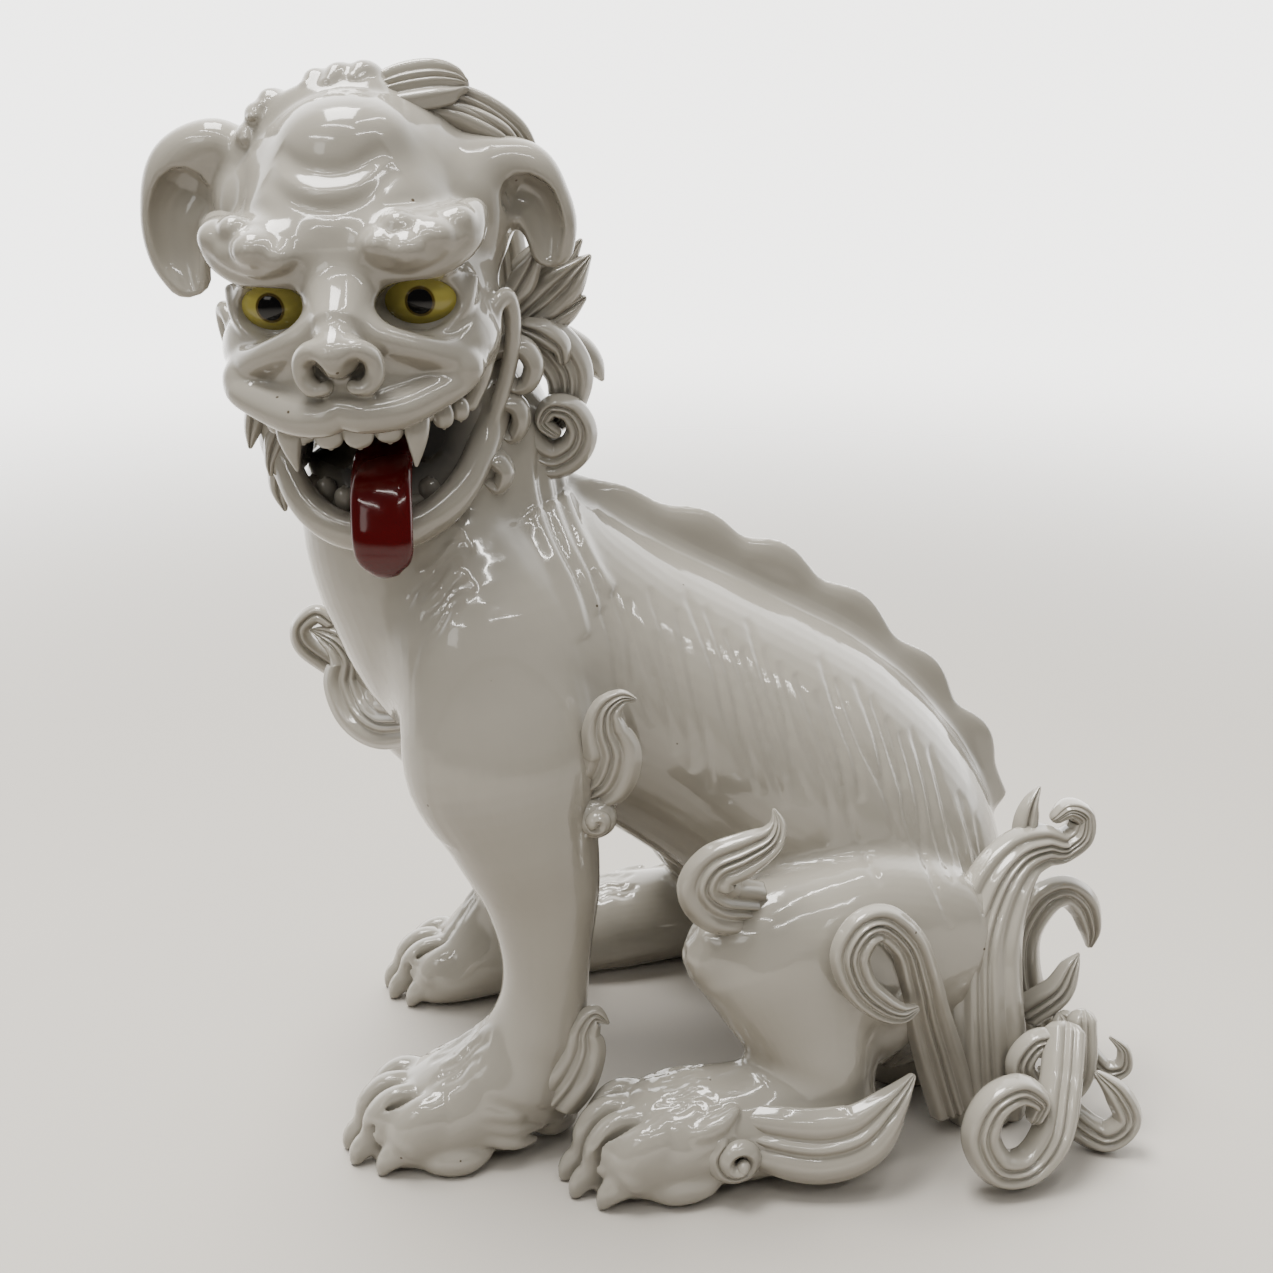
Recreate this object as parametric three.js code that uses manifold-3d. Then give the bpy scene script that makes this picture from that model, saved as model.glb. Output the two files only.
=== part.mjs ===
// Seated guardian lion (foo dog) in hollow glazed earthenware.
// Millimetres, +Z up. The animal faces -Y, its own left side is +X, and its feet stand on z = 0.
// Every casting, lock and curl is a loft: a closed skin around elliptical sections along a curve.
import * as THREE from 'three';
import { mergeVertices } from 'three/addons/utils/BufferGeometryUtils.js';
import Module from 'manifold-3d';

const wasm = await Module();
wasm.setup();

// Driving dimensions.
const WALL = 8;
const JOINT_GAP = 0.35;
const VENT_RADIUS = 16;
const STRAP_THICKNESS = 4.5;
const STATUE_CENTRE = [5.67, 2.04];
const HEAD = { centre: [2.5, -120.5, 393.6], turn: 77, nod: 6, tilt: 3 };

// Glazes: colour, roughness.
const WHITE = { color: 0xe6e1d6, roughness: 0.12 };
const YELLOW = { color: 0xd8cf5a, roughness: 0.12 };
const RED = { color: 0x7d0c10, roughness: 0.12 };

const radians = (degrees) => (degrees * Math.PI) / 180;
const bodyFrame = (x, y, z) => new THREE.Vector3(x, y, z);

// The head has its own frame: s to the animal's left, f forward out of the face, u up.
const turn = radians(HEAD.turn);
const nod = radians(HEAD.nod);
const tilt = radians(HEAD.tilt);
const levelForward = new THREE.Vector3(Math.sin(turn), -Math.cos(turn), 0);
const levelLeft = new THREE.Vector3(Math.cos(turn), Math.sin(turn), 0);
const forward = levelForward.multiplyScalar(Math.cos(nod)).setZ(-Math.sin(nod));
const levelUp = new THREE.Vector3().crossVectors(levelLeft, forward).negate();
const left = levelLeft.clone().multiplyScalar(Math.cos(tilt)).addScaledVector(levelUp, Math.sin(tilt));
const up = levelUp.clone().multiplyScalar(Math.cos(tilt)).addScaledVector(levelLeft, -Math.sin(tilt));
const headDirection = (s, f, u) =>
  new THREE.Vector3().addScaledVector(left, s).addScaledVector(forward, f).addScaledVector(up, u);
const headFrame = (s, f, u) => headDirection(s, f, u).add(new THREE.Vector3(...HEAD.centre));

// Catmull-Rom interpolation of every column of a list of rows.
function interpolate(rows, position) {
  const last = rows.length - 1;
  const scaled = Math.min(Math.max(position, 0), 1) * last;
  const index = Math.min(Math.floor(scaled), last - 1);
  const t = scaled - index;
  const before = rows[Math.max(index - 1, 0)];
  const start = rows[index];
  const end = rows[index + 1];
  const after = rows[Math.min(index + 2, last)];
  return start.map((value, column) => {
    const a = before[column];
    const c = end[column];
    const d = after[column];
    const cubic = 3 * value - 3 * c + d - a;
    const square = 2 * a - 5 * value + 4 * c - d;
    return value + 0.5 * t * (c - a + t * (square + t * cubic));
  });
}

// A closed skin from rings of points, with a fan at each end.
function skin(rings) {
  const sides = rings[0].length;
  const points = rings.flat();
  const triangles = [];
  for (let ring = 0; ring < rings.length - 1; ring += 1) {
    for (let side = 0; side < sides; side += 1) {
      const next = (side + 1) % sides;
      const a = ring * sides + side;
      const b = ring * sides + next;
      triangles.push([a, b, b + sides], [a, b + sides, a + sides]);
    }
  }
  const middle = (ring) => ring.reduce((sum, p) => sum.add(p), new THREE.Vector3()).divideScalar(sides);
  const first = points.push(middle(rings[0])) - 1;
  const final = points.push(middle(rings[rings.length - 1])) - 1;
  const offset = (rings.length - 1) * sides;
  for (let side = 0; side < sides; side += 1) {
    const next = (side + 1) % sides;
    triangles.push([first, next, side], [final, offset + side, offset + next]);
  }
  const geometry = new THREE.BufferGeometry();
  geometry.setAttribute('position', new THREE.Float32BufferAttribute(points.flatMap((p) => p.toArray()), 3));
  geometry.setIndex(triangles.flat());
  return geometry;
}

// A loft through rows of [x, y, z, half width, half depth, twist in degrees].
// `across` is the direction of the width, or `normal` the direction of the depth.
function loft(rows, { across, normal, steps = 12, sides = 8, frame = bodyFrame } = {}) {
  return (grow) => {
    const samples = [];
    for (let step = 0; step <= steps; step += 1) {
      const row = interpolate(rows, step / steps);
      samples.push({ row, point: frame(row[0], row[1], row[2]) });
    }
    const rings = samples.map(({ row, point }, step) => {
      const ahead = samples[Math.min(step + 1, steps)].point;
      const behind = samples[Math.max(step - 1, 0)].point;
      const tangent = ahead.clone().sub(behind).normalize();
      const wide = across
        ? across.clone().applyAxisAngle(new THREE.Vector3(0, 0, 1), radians(row[5] ?? 0))
        : new THREE.Vector3().crossVectors(normal, tangent);
      wide.addScaledVector(tangent, -wide.dot(tangent)).normalize();
      const deep = new THREE.Vector3().crossVectors(tangent, wide);
      const end = step === 0 ? -grow : step === steps ? grow : 0;
      const centre = point.clone().addScaledVector(tangent, end);
      return Array.from({ length: sides }, (_, side) => {
        const angle = (2 * Math.PI * side) / sides;
        return centre.clone()
          .addScaledVector(wide, (Math.max(row[3], 0.8) + grow) * Math.cos(angle))
          .addScaledVector(deep, (Math.max(row[4], 0.8) + grow) * Math.sin(angle));
      });
    });
    return skin(rings);
  };
}

// An ellipsoid whose three radii lie along the frame's own directions.
function ball(centre, radii, { frame = bodyFrame, sides = 12 } = {}) {
  return (grow) => {
    const geometry = new THREE.SphereGeometry(1, sides, Math.round(sides * 0.7));
    const position = geometry.attributes.position;
    const [x, y, z] = centre;
    for (let i = 0; i < position.count; i += 1) {
      const p = frame(
        x + position.getX(i) * (radii[0] + grow),
        y - position.getZ(i) * (radii[1] + grow),
        z + position.getY(i) * (radii[2] + grow),
      );
      position.setXYZ(i, p.x, p.y, p.z);
    }
    return geometry;
  };
}

const inHead = (options) => ({ frame: headFrame, ...options });
const lateral = new THREE.Vector3(1, 0, 0);
const facingLeft = new THREE.Vector3(1, -0.15, 0.2).normalize();

// Solids, always facing out. A shape is a function of how far its surface is grown outwards.
function solid(geometry) {
  const bare = geometry.clone();
  bare.deleteAttribute('normal');
  bare.deleteAttribute('uv');
  const merged = mergeVertices(bare, 1e-4);
  const vertices = Float32Array.from(merged.attributes.position.array);
  const corner = (i) => new THREE.Vector3().fromArray(vertices, 3 * i);
  const triangles = [];
  const source = merged.index.array;
  let volume = 0;
  for (let i = 0; i < source.length; i += 3) {
    const [a, b, c] = [source[i], source[i + 1], source[i + 2]];
    if (a !== b && b !== c && c !== a) {
      triangles.push([a, b, c]);
      volume += corner(a).dot(corner(b).cross(corner(c)));
    }
  }
  const outward = volume > 0 ? triangles : triangles.map(([a, b, c]) => [a, c, b]);
  const triVerts = Uint32Array.from(outward.flat());
  const mesh = new wasm.Mesh({ numProp: 3, vertProperties: vertices, triVerts });
  return new wasm.Manifold(mesh);
}

const union = (shapes, grow = 0) => shapes.map((shape) => solid(shape(grow))).reduce((a, b) => a.add(b));

const underground = solid(new THREE.BoxGeometry(600, 700, 120).translate(0, 0, -60));
const group = new THREE.Group();
const placed = [];

const overlaps = (a, b) =>
  [0, 1, 2].every((axis) => a.min[axis] <= b.max[axis] && b.min[axis] <= a.max[axis]);

// Adds one named piece: its shapes joined, less its hollows, its neighbours already placed and the ground.
// Crumbs that the cuts leave behind are dropped: `solids` is how many separate solids the piece keeps.
function addPiece(name, shapes, glaze, { hollows = [], solids = 1 } = {}) {
  let body = union(shapes);
  const grown = union(shapes, JOINT_GAP).add(body);
  for (const hollow of hollows) {
    body = body.subtract(solid(hollow(0)));
  }
  for (const neighbour of placed) {
    if (overlaps(neighbour.boundingBox(), body.boundingBox())) {
      body = body.subtract(neighbour);
    }
  }
  if (body.boundingBox().min[2] < 0) {
    body = body.subtract(underground);
  }
  placed.push(grown);
  const parts = body.decompose().sort((a, b) => b.volume() - a.volume()).slice(0, solids);
  body = parts.reduce((a, b) => a.add(b));
  const { vertProperties, triVerts } = body.getMesh();
  const geometry = new THREE.BufferGeometry();
  geometry.setAttribute('position', new THREE.BufferAttribute(Float32Array.from(vertProperties), 3));
  geometry.setIndex(Array.from(triVerts));
  geometry.computeVertexNormals();
  const material = new THREE.MeshStandardMaterial({ ...glaze, metalness: 0 });
  const mesh = new THREE.Mesh(geometry, material);
  mesh.name = name;
  group.add(mesh);
}

const mirrored = (rows) => rows.map(([x, ...rest]) => [-x, ...rest]);
const shrunk = (rows, wall) =>
  rows.map(([x, y, z, wide, deep, ...rest]) => [x, y, z, wide - wall, deep - wall, ...rest]);

// Trunk: from the seat up the back, over the shoulders to the top of the neck. The chest turns to the left.
const TRUNK = [
  [0, 128, -6, 52, 40, 0],
  [0, 127, 30, 66, 50, 0],
  [0, 122, 70, 72, 60, 0],
  [0, 104, 115, 75, 69, 0],
  [0, 65, 158, 75, 72, 0],
  [0, 12, 194, 70, 67, 5],
  [0, -38, 222, 68, 66, 15],
  [-2, -78, 252, 66, 66, 25],
  [-3, -97, 290, 54, 63, 25],
  [0, -98, 328, 43, 56, 25],
  [2, -100, 352, 34, 44, 25],
];
addPiece('torso_shell', [loft(TRUNK, { across: lateral, steps: 16, sides: 18 })], WHITE, {
  hollows: [
    loft(shrunk(TRUNK.slice(1, -1), WALL), { across: lateral, steps: 9, sides: 10 }),
    ball([0, 128, 16], [VENT_RADIUS, VENT_RADIUS, 40]),
  ],
});

// Legs. Row lists run from the body down to the foot.
const FORELEG_LEFT = [
  [58, -80, 228, 34, 40],
  [64, -77, 195, 36, 43],
  [66, -70, 165, 30, 34],
  [65, -63, 135, 24, 27],
  [64, -61, 105, 21, 21],
  [63, -62, 80, 20, 20],
  [62, -66, 58, 21, 24],
  [60, -74, 40, 22, 26],
];
const FOREPAW_LEFT = [
  [61, -62, 22, 17, 14],
  [60, -74, 28, 23, 28],
  [58, -92, 28, 27, 29],
  [57, -112, 24, 30, 26],
  [57, -129, 17, 30, 22],
  [57, -145, 8, 23, 15],
];
const FORELEG_RIGHT = [
  [-54, -104, 215, 32, 38],
  [-60, -101, 185, 34, 38],
  [-66, -90, 155, 27, 30],
  [-69, -79, 125, 22, 24],
  [-70, -68, 95, 20, 20],
  [-72, -64, 65, 20, 20],
  [-75, -68, 46, 21, 24],
];
const FOREPAW_RIGHT = [
  [-76, -50, 20, 17, 14],
  [-77, -62, 24, 23, 24],
  [-78, -78, 24, 27, 25],
  [-80, -96, 20, 30, 22],
  [-82, -112, 13, 28, 18],
  [-84, -123, 6, 20, 12],
];
const HAUNCH = [
  [66, 132, 50, 14, 40],
  [72, 112, 72, 24, 56],
  [78, 82, 88, 29, 56],
  [83, 52, 98, 29, 46],
  [86, 28, 105, 26, 34],
  [87, 10, 108, 14, 18],
];
const SHIN = [
  [84, 36, 104, 24, 32],
  [90, 50, 76, 24, 29],
  [96, 62, 50, 21, 24],
  [98, 66, 28, 18, 20],
];
const HINDPAW = [
  [100, 84, 12, 12, 12],
  [100, 64, 19, 19, 20],
  [99, 36, 24, 24, 26],
  [98, 8, 25, 28, 28],
  [98, -16, 26, 31, 30],
  [98, -35, 19, 30, 25],
  [99, -49, 9, 21, 14],
];
// Where each claw stands, [x, y], from one side of the paw to the other.
const FORECLAWS_LEFT = [[42, -138], [54, -144], [66, -141], [76, -129]];
const FORECLAWS_RIGHT = [[-65, -110], [-75, -119], [-87, -121], [-98, -113]];
const HINDCLAWS = [[82, -40], [94, -47], [107, -44], [117, -33]];

const legLoft = (rows, steps = 8, sides = 11) => loft(rows, { across: lateral, steps, sides });

// A paw: its casting with a short horn-shaped claw at the front of each toe.
function paw(rows, claws) {
  const horns = claws.map(([x, y]) => {
    const horn = [
      [x, y + 8, 14, 5, 5],
      [x, y - 3, 9, 5, 5],
      [x, y - 8, 2, 1, 1],
    ];
    return loft(horn, { across: lateral, steps: 2, sides: 6 });
  });
  return [legLoft(rows, 8), ...horns];
}
addPiece('foreleg_left', [legLoft(FORELEG_LEFT)], WHITE);
addPiece('foreleg_right', [legLoft(FORELEG_RIGHT)], WHITE);
addPiece('forepaw_left', paw(FOREPAW_LEFT, FORECLAWS_LEFT), WHITE);
addPiece('forepaw_right', paw(FOREPAW_RIGHT, FORECLAWS_RIGHT), WHITE);
addPiece('hindleg_left', [legLoft(HAUNCH), legLoft(SHIN, 6)], WHITE);
addPiece('hindleg_right', [legLoft(mirrored(HAUNCH)), legLoft(mirrored(SHIN), 6)], WHITE);
addPiece('hindpaw_left', paw(HINDPAW, HINDCLAWS), WHITE);
addPiece('hindpaw_right', paw(mirrored(HINDPAW), mirrored(HINDCLAWS)), WHITE);

// Head castings, in the head's own frame.
const headBall = (centre, radii, sides = 14) => ball(centre, radii, inHead({ sides }));
const handedness = [['left', (rows) => rows], ['right', mirrored]];
for (const [side, handed] of handedness) {
  addPiece(`eye_${side}`, [ball(handed([[27, 44, 4]])[0], [18, 15, 14], inHead({ sides: 10 }))], YELLOW);
}
addPiece('head_shell', [
  headBall([0, -2, 30], [54, 60, 56], 18),
  headBall([0, 20, -6], [55, 48, 44], 16),
  headBall([0, 52, -14], [40, 34, 20], 12),
  headBall([0, 46, 66], [23, 14, 17], 12),
  headBall([8, -8, -48], [46, 42, 40], 14),
], WHITE, {
  hollows: [
    headBall([4, -10, 10], [42, 46, 52], 12),
    headBall([0, 44, -56], [30, 34, 22], 12),
  ],
});

// Face pieces. Rows are [s, f, u, half width, half depth] in the head's frame.
const headForward = headDirection(0, 1, 0);
const headUp = headDirection(0, 0, 1);
const headLeft = headDirection(1, 0, 0);
const headLoft = (rows, normal, steps = 10, sides = 8) => loft(rows, inHead({ normal, steps, sides }));

const JAW_RIM = [
  [50, 8, -44, 8, 8],
  [44, 32, -64, 8, 9],
  [31, 52, -78, 9, 9],
  [0, 66, -86, 11, 9],
  [-31, 54, -74, 9, 9],
  [-44, 36, -58, 8, 9],
  [-50, 12, -40, 8, 8],
];
addPiece('lower_jaw', [
  headLoft(JAW_RIM, headUp, 16),
  headBall([0, 28, -84], [40, 38, 9]),
], WHITE);

const UPPER_LIP = [
  [-47, 58, -27, 5, 5],
  [-38, 68, -32, 9, 9],
  [-20, 80, -33, 9, 9],
  [0, 86, -31, 8, 8],
  [20, 80, -33, 9, 9],
  [38, 66, -32, 9, 9],
  [46, 56, -26, 5, 5],
];
addPiece('upper_lip', [headLoft(UPPER_LIP, headUp, 14)], WHITE);

const NOSE = [
  [1, 52, 32, 14, 8],
  [1, 72, 12, 13, 11],
  [1, 86, -3, 12, 12],
  [1, 88, -14, 12, 8],
];
addPiece('nose', [
  headLoft(NOSE, headForward, 6, 10),
  headBall([-11, 85, -12], [8, 11, 9], 8),
  headBall([13, 85, -12], [8, 11, 9], 8),
], WHITE, { hollows: [headBall([-8, 97, -15], [4, 8, 4], 6), headBall([8, 97, -15], [4, 8, 4], 6)] });

const BROW = [
  [9, 58, 30, 7, 7],
  [20, 62, 28, 12, 12],
  [36, 60, 28, 14, 13],
  [50, 46, 31, 12, 11],
  [55, 35, 37, 6, 7],
];
const SMILE_FOLD = [
  [44, 50, -74, 4, 4],
  [52, 40, -44, 5, 4],
  [58, 28, -14, 5, 4],
  [58, 26, 0, 5, 4],
  [52, 36, -6, 4, 4],
  [46, 46, -28, 4, 4],
];
const EAR_LEFT = [
  [42, 8, 46, 8, 9],
  [55, 6, 48, 11, 9],
  [67, 3, 43, 13, 7],
  [73, 2, 32, 12, 6],
  [76, 2, 21, 11, 6],
  [76, 3, 9, 8, 4],
];
const EAR_RIGHT = [
  [-43, 8, 56, 8, 8],
  [-57, 8, 61, 11, 8],
  [-72, 8, 52, 14, 7],
  [-78, 10, 35, 14, 6],
  [-78, 12, 19, 13, 5],
  [-75, 14, 6, 8, 4],
];
for (const [side, handed] of handedness) {
  addPiece(`brow_${side}`, [headLoft(handed(BROW), headForward, 8, 10)], WHITE);
  const bands = [SMILE_FOLD.slice(0, 4), SMILE_FOLD.slice(3)];
  addPiece(`smile_fold_${side}`, bands.map((band) => headLoft(handed(band), headLeft, 6, 6)), WHITE);
}
addPiece('ear_left', [headLoft(EAR_LEFT, headForward, 8, 8)], WHITE);
addPiece('ear_right', [headLoft(EAR_RIGHT, headForward, 8, 8)], WHITE);

// Mouth. Each row of teeth is one strip of clay with beads along it.
const TONGUE = [
  [3, 20, -62, 12, 4],
  [6, 50, -58, 13, 4],
  [9, 72, -66, 13, 4],
  [9, 82, -84, 13, 4],
  [8, 84, -94, 9, 4],
  [8, 84, -99, 3, 3],
];
addPiece('tongue', [headLoft(TONGUE, headForward.clone().add(headUp).normalize(), 12, 10)], RED);

const alongArc = (half, front, depth, height) => (x) => [x, front - depth * (x / half) ** 2, height];
function toothStrip(arc, positions, size) {
  const strip = positions.map((x) => [...arc(x), 3, 3]);
  const beads = positions.map((x) => headBall(arc(x), size, 6));
  return [headLoft(strip, headUp, positions.length, 6), ...beads];
}
const upperArc = alongArc(40, 76, 22, -43);
addPiece('upper_teeth', toothStrip(upperArc, [-32, -20, -7, 6, 19, 31, 40], [6, 5, 5.5]), WHITE);
const lowerArc = alongArc(34, 56, 26, -75);
addPiece('lower_teeth', toothStrip(lowerArc, [-32, -24, -14, 22, 31], [4.5, 4, 6]), WHITE);
const FANG = [
  [27, 70, -40, 5, 5],
  [26, 73, -48, 4, 4],
  [24, 74, -56, 1, 1],
];
addPiece('fang_left', [headLoft(FANG, headForward, 5)], WHITE);
addPiece('fang_right', [headLoft(mirrored(FANG), headForward, 5)], WHITE);

// Hair on the crown and down the back of the head.
const CROWN_ROLL = [
  [-38, 22, 62, 4, 5],
  [-26, 24, 75, 7, 6],
  [-6, 22, 83, 7, 5],
  [12, 16, 83, 6, 5],
];
addPiece('crown_roll', [headLoft(CROWN_ROLL, headUp, 8)], WHITE);
const CROWN_TUFT = [
  [8, 12, 78, 8, 4],
  [24, 8, 82, 11, 4],
  [36, 4, 82, 8, 3],
  [44, 2, 78, 2, 2],
];
const EAR_LOCK = [
  [14, 4, 78, 6, 4],
  [34, 2, 74, 8, 4],
  [50, -1, 68, 9, 4],
  [63, -4, 58, 8, 4],
  [71, -6, 46, 3, 3],
];
const forwardAndUp = headForward.clone().add(headUp).normalize();
addPiece('crown_tuft', [CROWN_TUFT, EAR_LOCK].map((rows) => headLoft(rows, forwardAndUp, 8)), WHITE);
const backLock = (s, curl) => [
  [s * 0.5, -18, 79, 6, 4],
  [s, -46, 62, 11, 6],
  [s * 1.2 + curl, -66, 30, 12, 7],
  [s * 1.2 - curl, -66, -10, 12, 7],
  [s * 1.3 + curl, -56, -44, 9, 6],
  [s * 1.3, -52, -62, 3, 3],
];
const backHair = [-36, -18, 0, 18, 36].map((s, lock) =>
  headLoft(backLock(s, lock % 2 ? 4 : -4), headForward.clone().negate(), 7, 6));
addPiece('back_hair', backHair, WHITE);

// Mane around the cheeks: open curls on the left, the same locks laid back against the head on the right.
const MANE = {
  mane_leaf: [
    [[60, -6, -18, 6, 4], [70, -9, -11, 11, 4], [80, -11, -4, 9, 4], [90, -13, 5, 2, 2]],
  ],
  mane_spike: [
    [[60, -14, 0, 6, 5], [71, -14, 7, 7, 5], [79, -15, 14, 5, 4], [85, -16, 22, 2, 2]],
  ],
  mane_lock: [
    [[64, -8, -24, 7, 6], [74, -9, -33, 10, 7], [79, -10, -45, 10, 7], [75, -10, -57, 7, 6],
      [70, -9, -63, 3, 3]],
    [[78, -16, -32, 6, 6], [85, -19, -41, 6, 6], [90, -22, -50, 2, 2]],
  ],
  mane_sweep: [
    [[50, 6, -46, 5, 5], [53, 5, -61, 7, 5], [60, 4, -74, 8, 5], [70, 3, -79, 8, 5], [79, 3, -74, 7, 5],
      [82, 3, -65, 6, 5], [77, 3, -57, 5, 5], [69, 3, -59, 4, 4]],
  ],
  cheek_curl: [
    [[48, 14, -27, 5, 5], [57, 14, -26, 5, 5], [65, 14, -31, 5, 5], [65, 14, -39, 5, 5], [58, 14, -42, 4, 5],
      [53, 15, -37, 3, 4]],
    [[42, 18, -50, 5, 4], [52, 18, -47, 5, 4], [59, 18, -52, 5, 4], [58, 18, -60, 4, 4], [51, 18, -62, 3, 3]],
  ],
};
const LAID_BACK = { spread: 0.6, back: 22, slim: 0.55, rows: 5 };
const laidBack = (rows) =>
  rows.slice(0, LAID_BACK.rows).map(([s, f, u, wide, deep]) => [
    -s * LAID_BACK.spread, f - LAID_BACK.back, u, wide * LAID_BACK.slim, deep,
  ]);
const CHEEK_SPIKE = [
  [[-40, 36, -30, 5, 4], [-46, 41, -39, 5, 4], [-49, 44, -47, 4, 3], [-51, 46, -54, 1, 1]],
];
const lockLoft = (rows) => headLoft(rows, headForward, rows.length * 2, 6);
for (const [name, locks] of Object.entries(MANE)) {
  addPiece(`${name}_left`, locks.map(lockLoft), WHITE);
  const right = name === 'cheek_curl' ? CHEEK_SPIKE : locks.map(laidBack);
  addPiece(`${name}_right`, right.map(lockLoft), WHITE);
}
const BEARD = [
  [-40, 34, -62, 8, 5],
  [-44, 36, -76, 5, 4],
  [-43, 38, -86, 1, 1],
];
addPiece('beard_spike', [headLoft(BEARD, headForward, 4, 6)], WHITE);

// Spine crest: a scalloped ridge from the neck to the root of the tail.
const SPINE = [
  [0, -44, 300, 5, 8],
  [0, -20, 289, 5, 14],
  [0, 0, 281, 5, 12],
  [0, 20, 274, 5, 15],
  [0, 38, 264, 5, 12],
  [0, 56, 256, 5, 16],
  [0, 75, 242, 5, 12],
  [0, 94, 230, 5, 16],
  [0, 112, 212, 5, 12],
  [0, 130, 196, 5, 16],
  [0, 144, 177, 5, 12],
  [0, 158, 161, 5, 16],
  [0, 166, 144, 5, 12],
  [0, 173, 128, 5, 12],
];
addPiece('spine_crest', [loft(SPINE, { across: lateral, steps: 26, sides: 4 })], WHITE);

// Ribbed straps and flames on the body. Rows are [x, y, z, half width, half thickness].
const T = STRAP_THICKNESS;
const STRAPS = {
  chest_flame: [
    [-8, -116, 190, 12, T], [-24, -129, 184, 14, T], [-38, -138, 186, 14, T], [-47, -143, 196, 13, T],
    [-50, -142, 206, 11, T], [-54, -147, 214, 8, 4], [-58, -154, 218, 5, 3], [-60, -160, 220, 1, 1],
  ],
  chest_curl: [
    [-50, -132, 196, 5, 4], [-62, -144, 196, 6, 4], [-66, -155, 202, 6, 4], [-66, -164, 211, 6, 4],
    [-64, -165, 221, 5, 4], [-61, -157, 228, 5, 3], [-58, -150, 224, 4, 3],
  ],
  elbow_flame: [
    [76, -44, 184, 9, T], [83, -37, 193, 13, T], [87, -34, 206, 13, T], [88, -37, 218, 10, 4],
    [88, -36, 227, 7, 4], [88, -30, 232, 4, 3], [88, -24, 231, 1, 1],
  ],
  wrist_flame_left: [
    [77, -60, 32, 13, T], [80, -53, 44, 13, T], [79, -47, 57, 11, 4], [78, -46, 67, 8, 4],
    [77, -41, 74, 5, 3],
    [78, -35, 70, 1, 1],
  ],
  knee_flame_left: [
    [92, 28, 130, 13, T], [100, 12, 138, 14, T], [105, 4, 149, 13, T], [106, 8, 159, 11, T],
    [106, 20, 164, 10, 4], [104, 31, 169, 7, 4], [102, 35, 175, 4, 3], [100, 34, 181, 1, 1],
  ],
  foot_flame_left: [
    [112, 14, 32, 12, T], [121, 33, 29, 16, T], [126, 53, 27, 18, T], [127.8, 71, 32, 16, T],
    [125, 85, 44, 9, 4], [120, 96, 54, 2, 2],
  ],
  hip_curl_left: [
    [90, 130, 12, 12, T], [95, 119, 44, 12, T], [99, 110, 70, 11, T], [104, 103, 93, 10, T],
    [108, 95, 114, 9, T], [112, 82, 128, 9, T], [116, 71, 128, 9, T], [118, 65, 117, 9, T],
    [118, 70, 102, 8, T], [116, 81, 90, 7, T], [114, 91, 84, 5, 4], [112, 99, 84, 2, 2],
  ],
  tail_plume: [
    [84, 150, 2, 19, 8], [88, 144, 36, 21, 8], [86, 141, 68, 20, 8], [80, 142, 96, 19, 8],
    [72, 151, 117, 17, 7], [65, 163, 129, 14, 7], [60, 176, 132, 11, 8], [57, 188, 130, 8, 8],
    [56, 197, 136, 5, 7], [55, 196, 145, 3, 4],
  ],
  tail_hook: [
    [62, 190, 22, 11, 6], [58, 177, 48, 11, 6], [56, 173, 68, 10, 6], [54, 175, 84, 9, 5],
    [52, 184, 98, 9, 5], [50, 196, 101, 8, 5], [48, 207, 92, 8, 5], [46, 213, 78, 6, 5],
    [44, 215, 66, 2, 2],
  ],
  tail_scroll_1: [
    [104, 176, 58, 10, 6], [120, 168, 42, 10, 7], [132, 160, 24, 10, 7], [137, 147, 13, 9, 7],
    [138, 132, 15, 9, 7], [136, 124, 30, 9, 7], [134, 129, 45, 8, 7], [132, 142, 50, 6, 6],
    [130, 152, 42, 4, 6], [131, 150, 35, 3, 5],
  ],
  tail_scroll_2: [
    [92, 190, 56, 7, 6], [100, 187, 34, 8, 6], [103, 176, 24, 8, 6], [104, 162, 29, 8, 6],
    [104, 155, 43, 7, 6], [104, 161, 54, 6, 5], [104, 171, 54, 5, 5], [104, 173, 45, 4, 4],
  ],
  tail_scroll_3: [
    [96, 170, 30, 7, 5], [108, 181, 14, 8, 5], [117, 194, 8, 8, 5], [120, 203, 18, 7, 5],
    [117, 198, 31, 6, 4], [112, 190, 39, 2, 2],
  ],
  tail_scroll_4: [
    [84, 184, 52, 6, 4], [89, 193, 38, 6, 4], [94, 202, 28, 6, 4], [98, 210, 31, 5, 3], [97, 210, 40, 3, 3],
    [95, 204, 46, 1, 1],
  ],
  tail_tuft: [
    [72, 172, 50, 9, 6], [76, 184, 62, 8, 5], [75, 190, 74, 5, 4], [74, 194, 80, 1, 1],
  ],
};
const FOOT_CURL = [
  [104, 2, 34, 8, 7], [115, 6, 36, 9, 8], [124, 15, 32, 9, 9], [127.1, 20, 22, 7, 7],
];
const PLUME_TIP = [
  [58, 168, 134, 6, 5], [56, 170, 145, 6, 5], [55, 172, 153, 4, 4], [54, 176, 160, 1, 1],
];
const onBothSides = ['wrist_flame_left', 'knee_flame_left', 'foot_flame_left', 'hip_curl_left'];
function strap(rows, normal) {
  return loft(rows, { normal, steps: Math.round(rows.length * 1.3), sides: 6 });
}
const extraStrand = { tail_plume: PLUME_TIP, foot_flame_left: FOOT_CURL };
for (const [name, rows] of Object.entries(STRAPS)) {
  const strands = extraStrand[name] ? [rows, extraStrand[name]] : [rows];
  addPiece(name, strands.map((strand) => strap(strand, facingLeft)), WHITE);
  if (onBothSides.includes(name)) {
    const turned = strands.map((strand) => strap(mirrored(strand), facingLeft));
    addPiece(name.replace('left', 'right'), turned, WHITE);
  }
}
addPiece('elbow_knob', [ball([84, -41, 176], [13, 11, 11], { sides: 10 })], WHITE);

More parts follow.
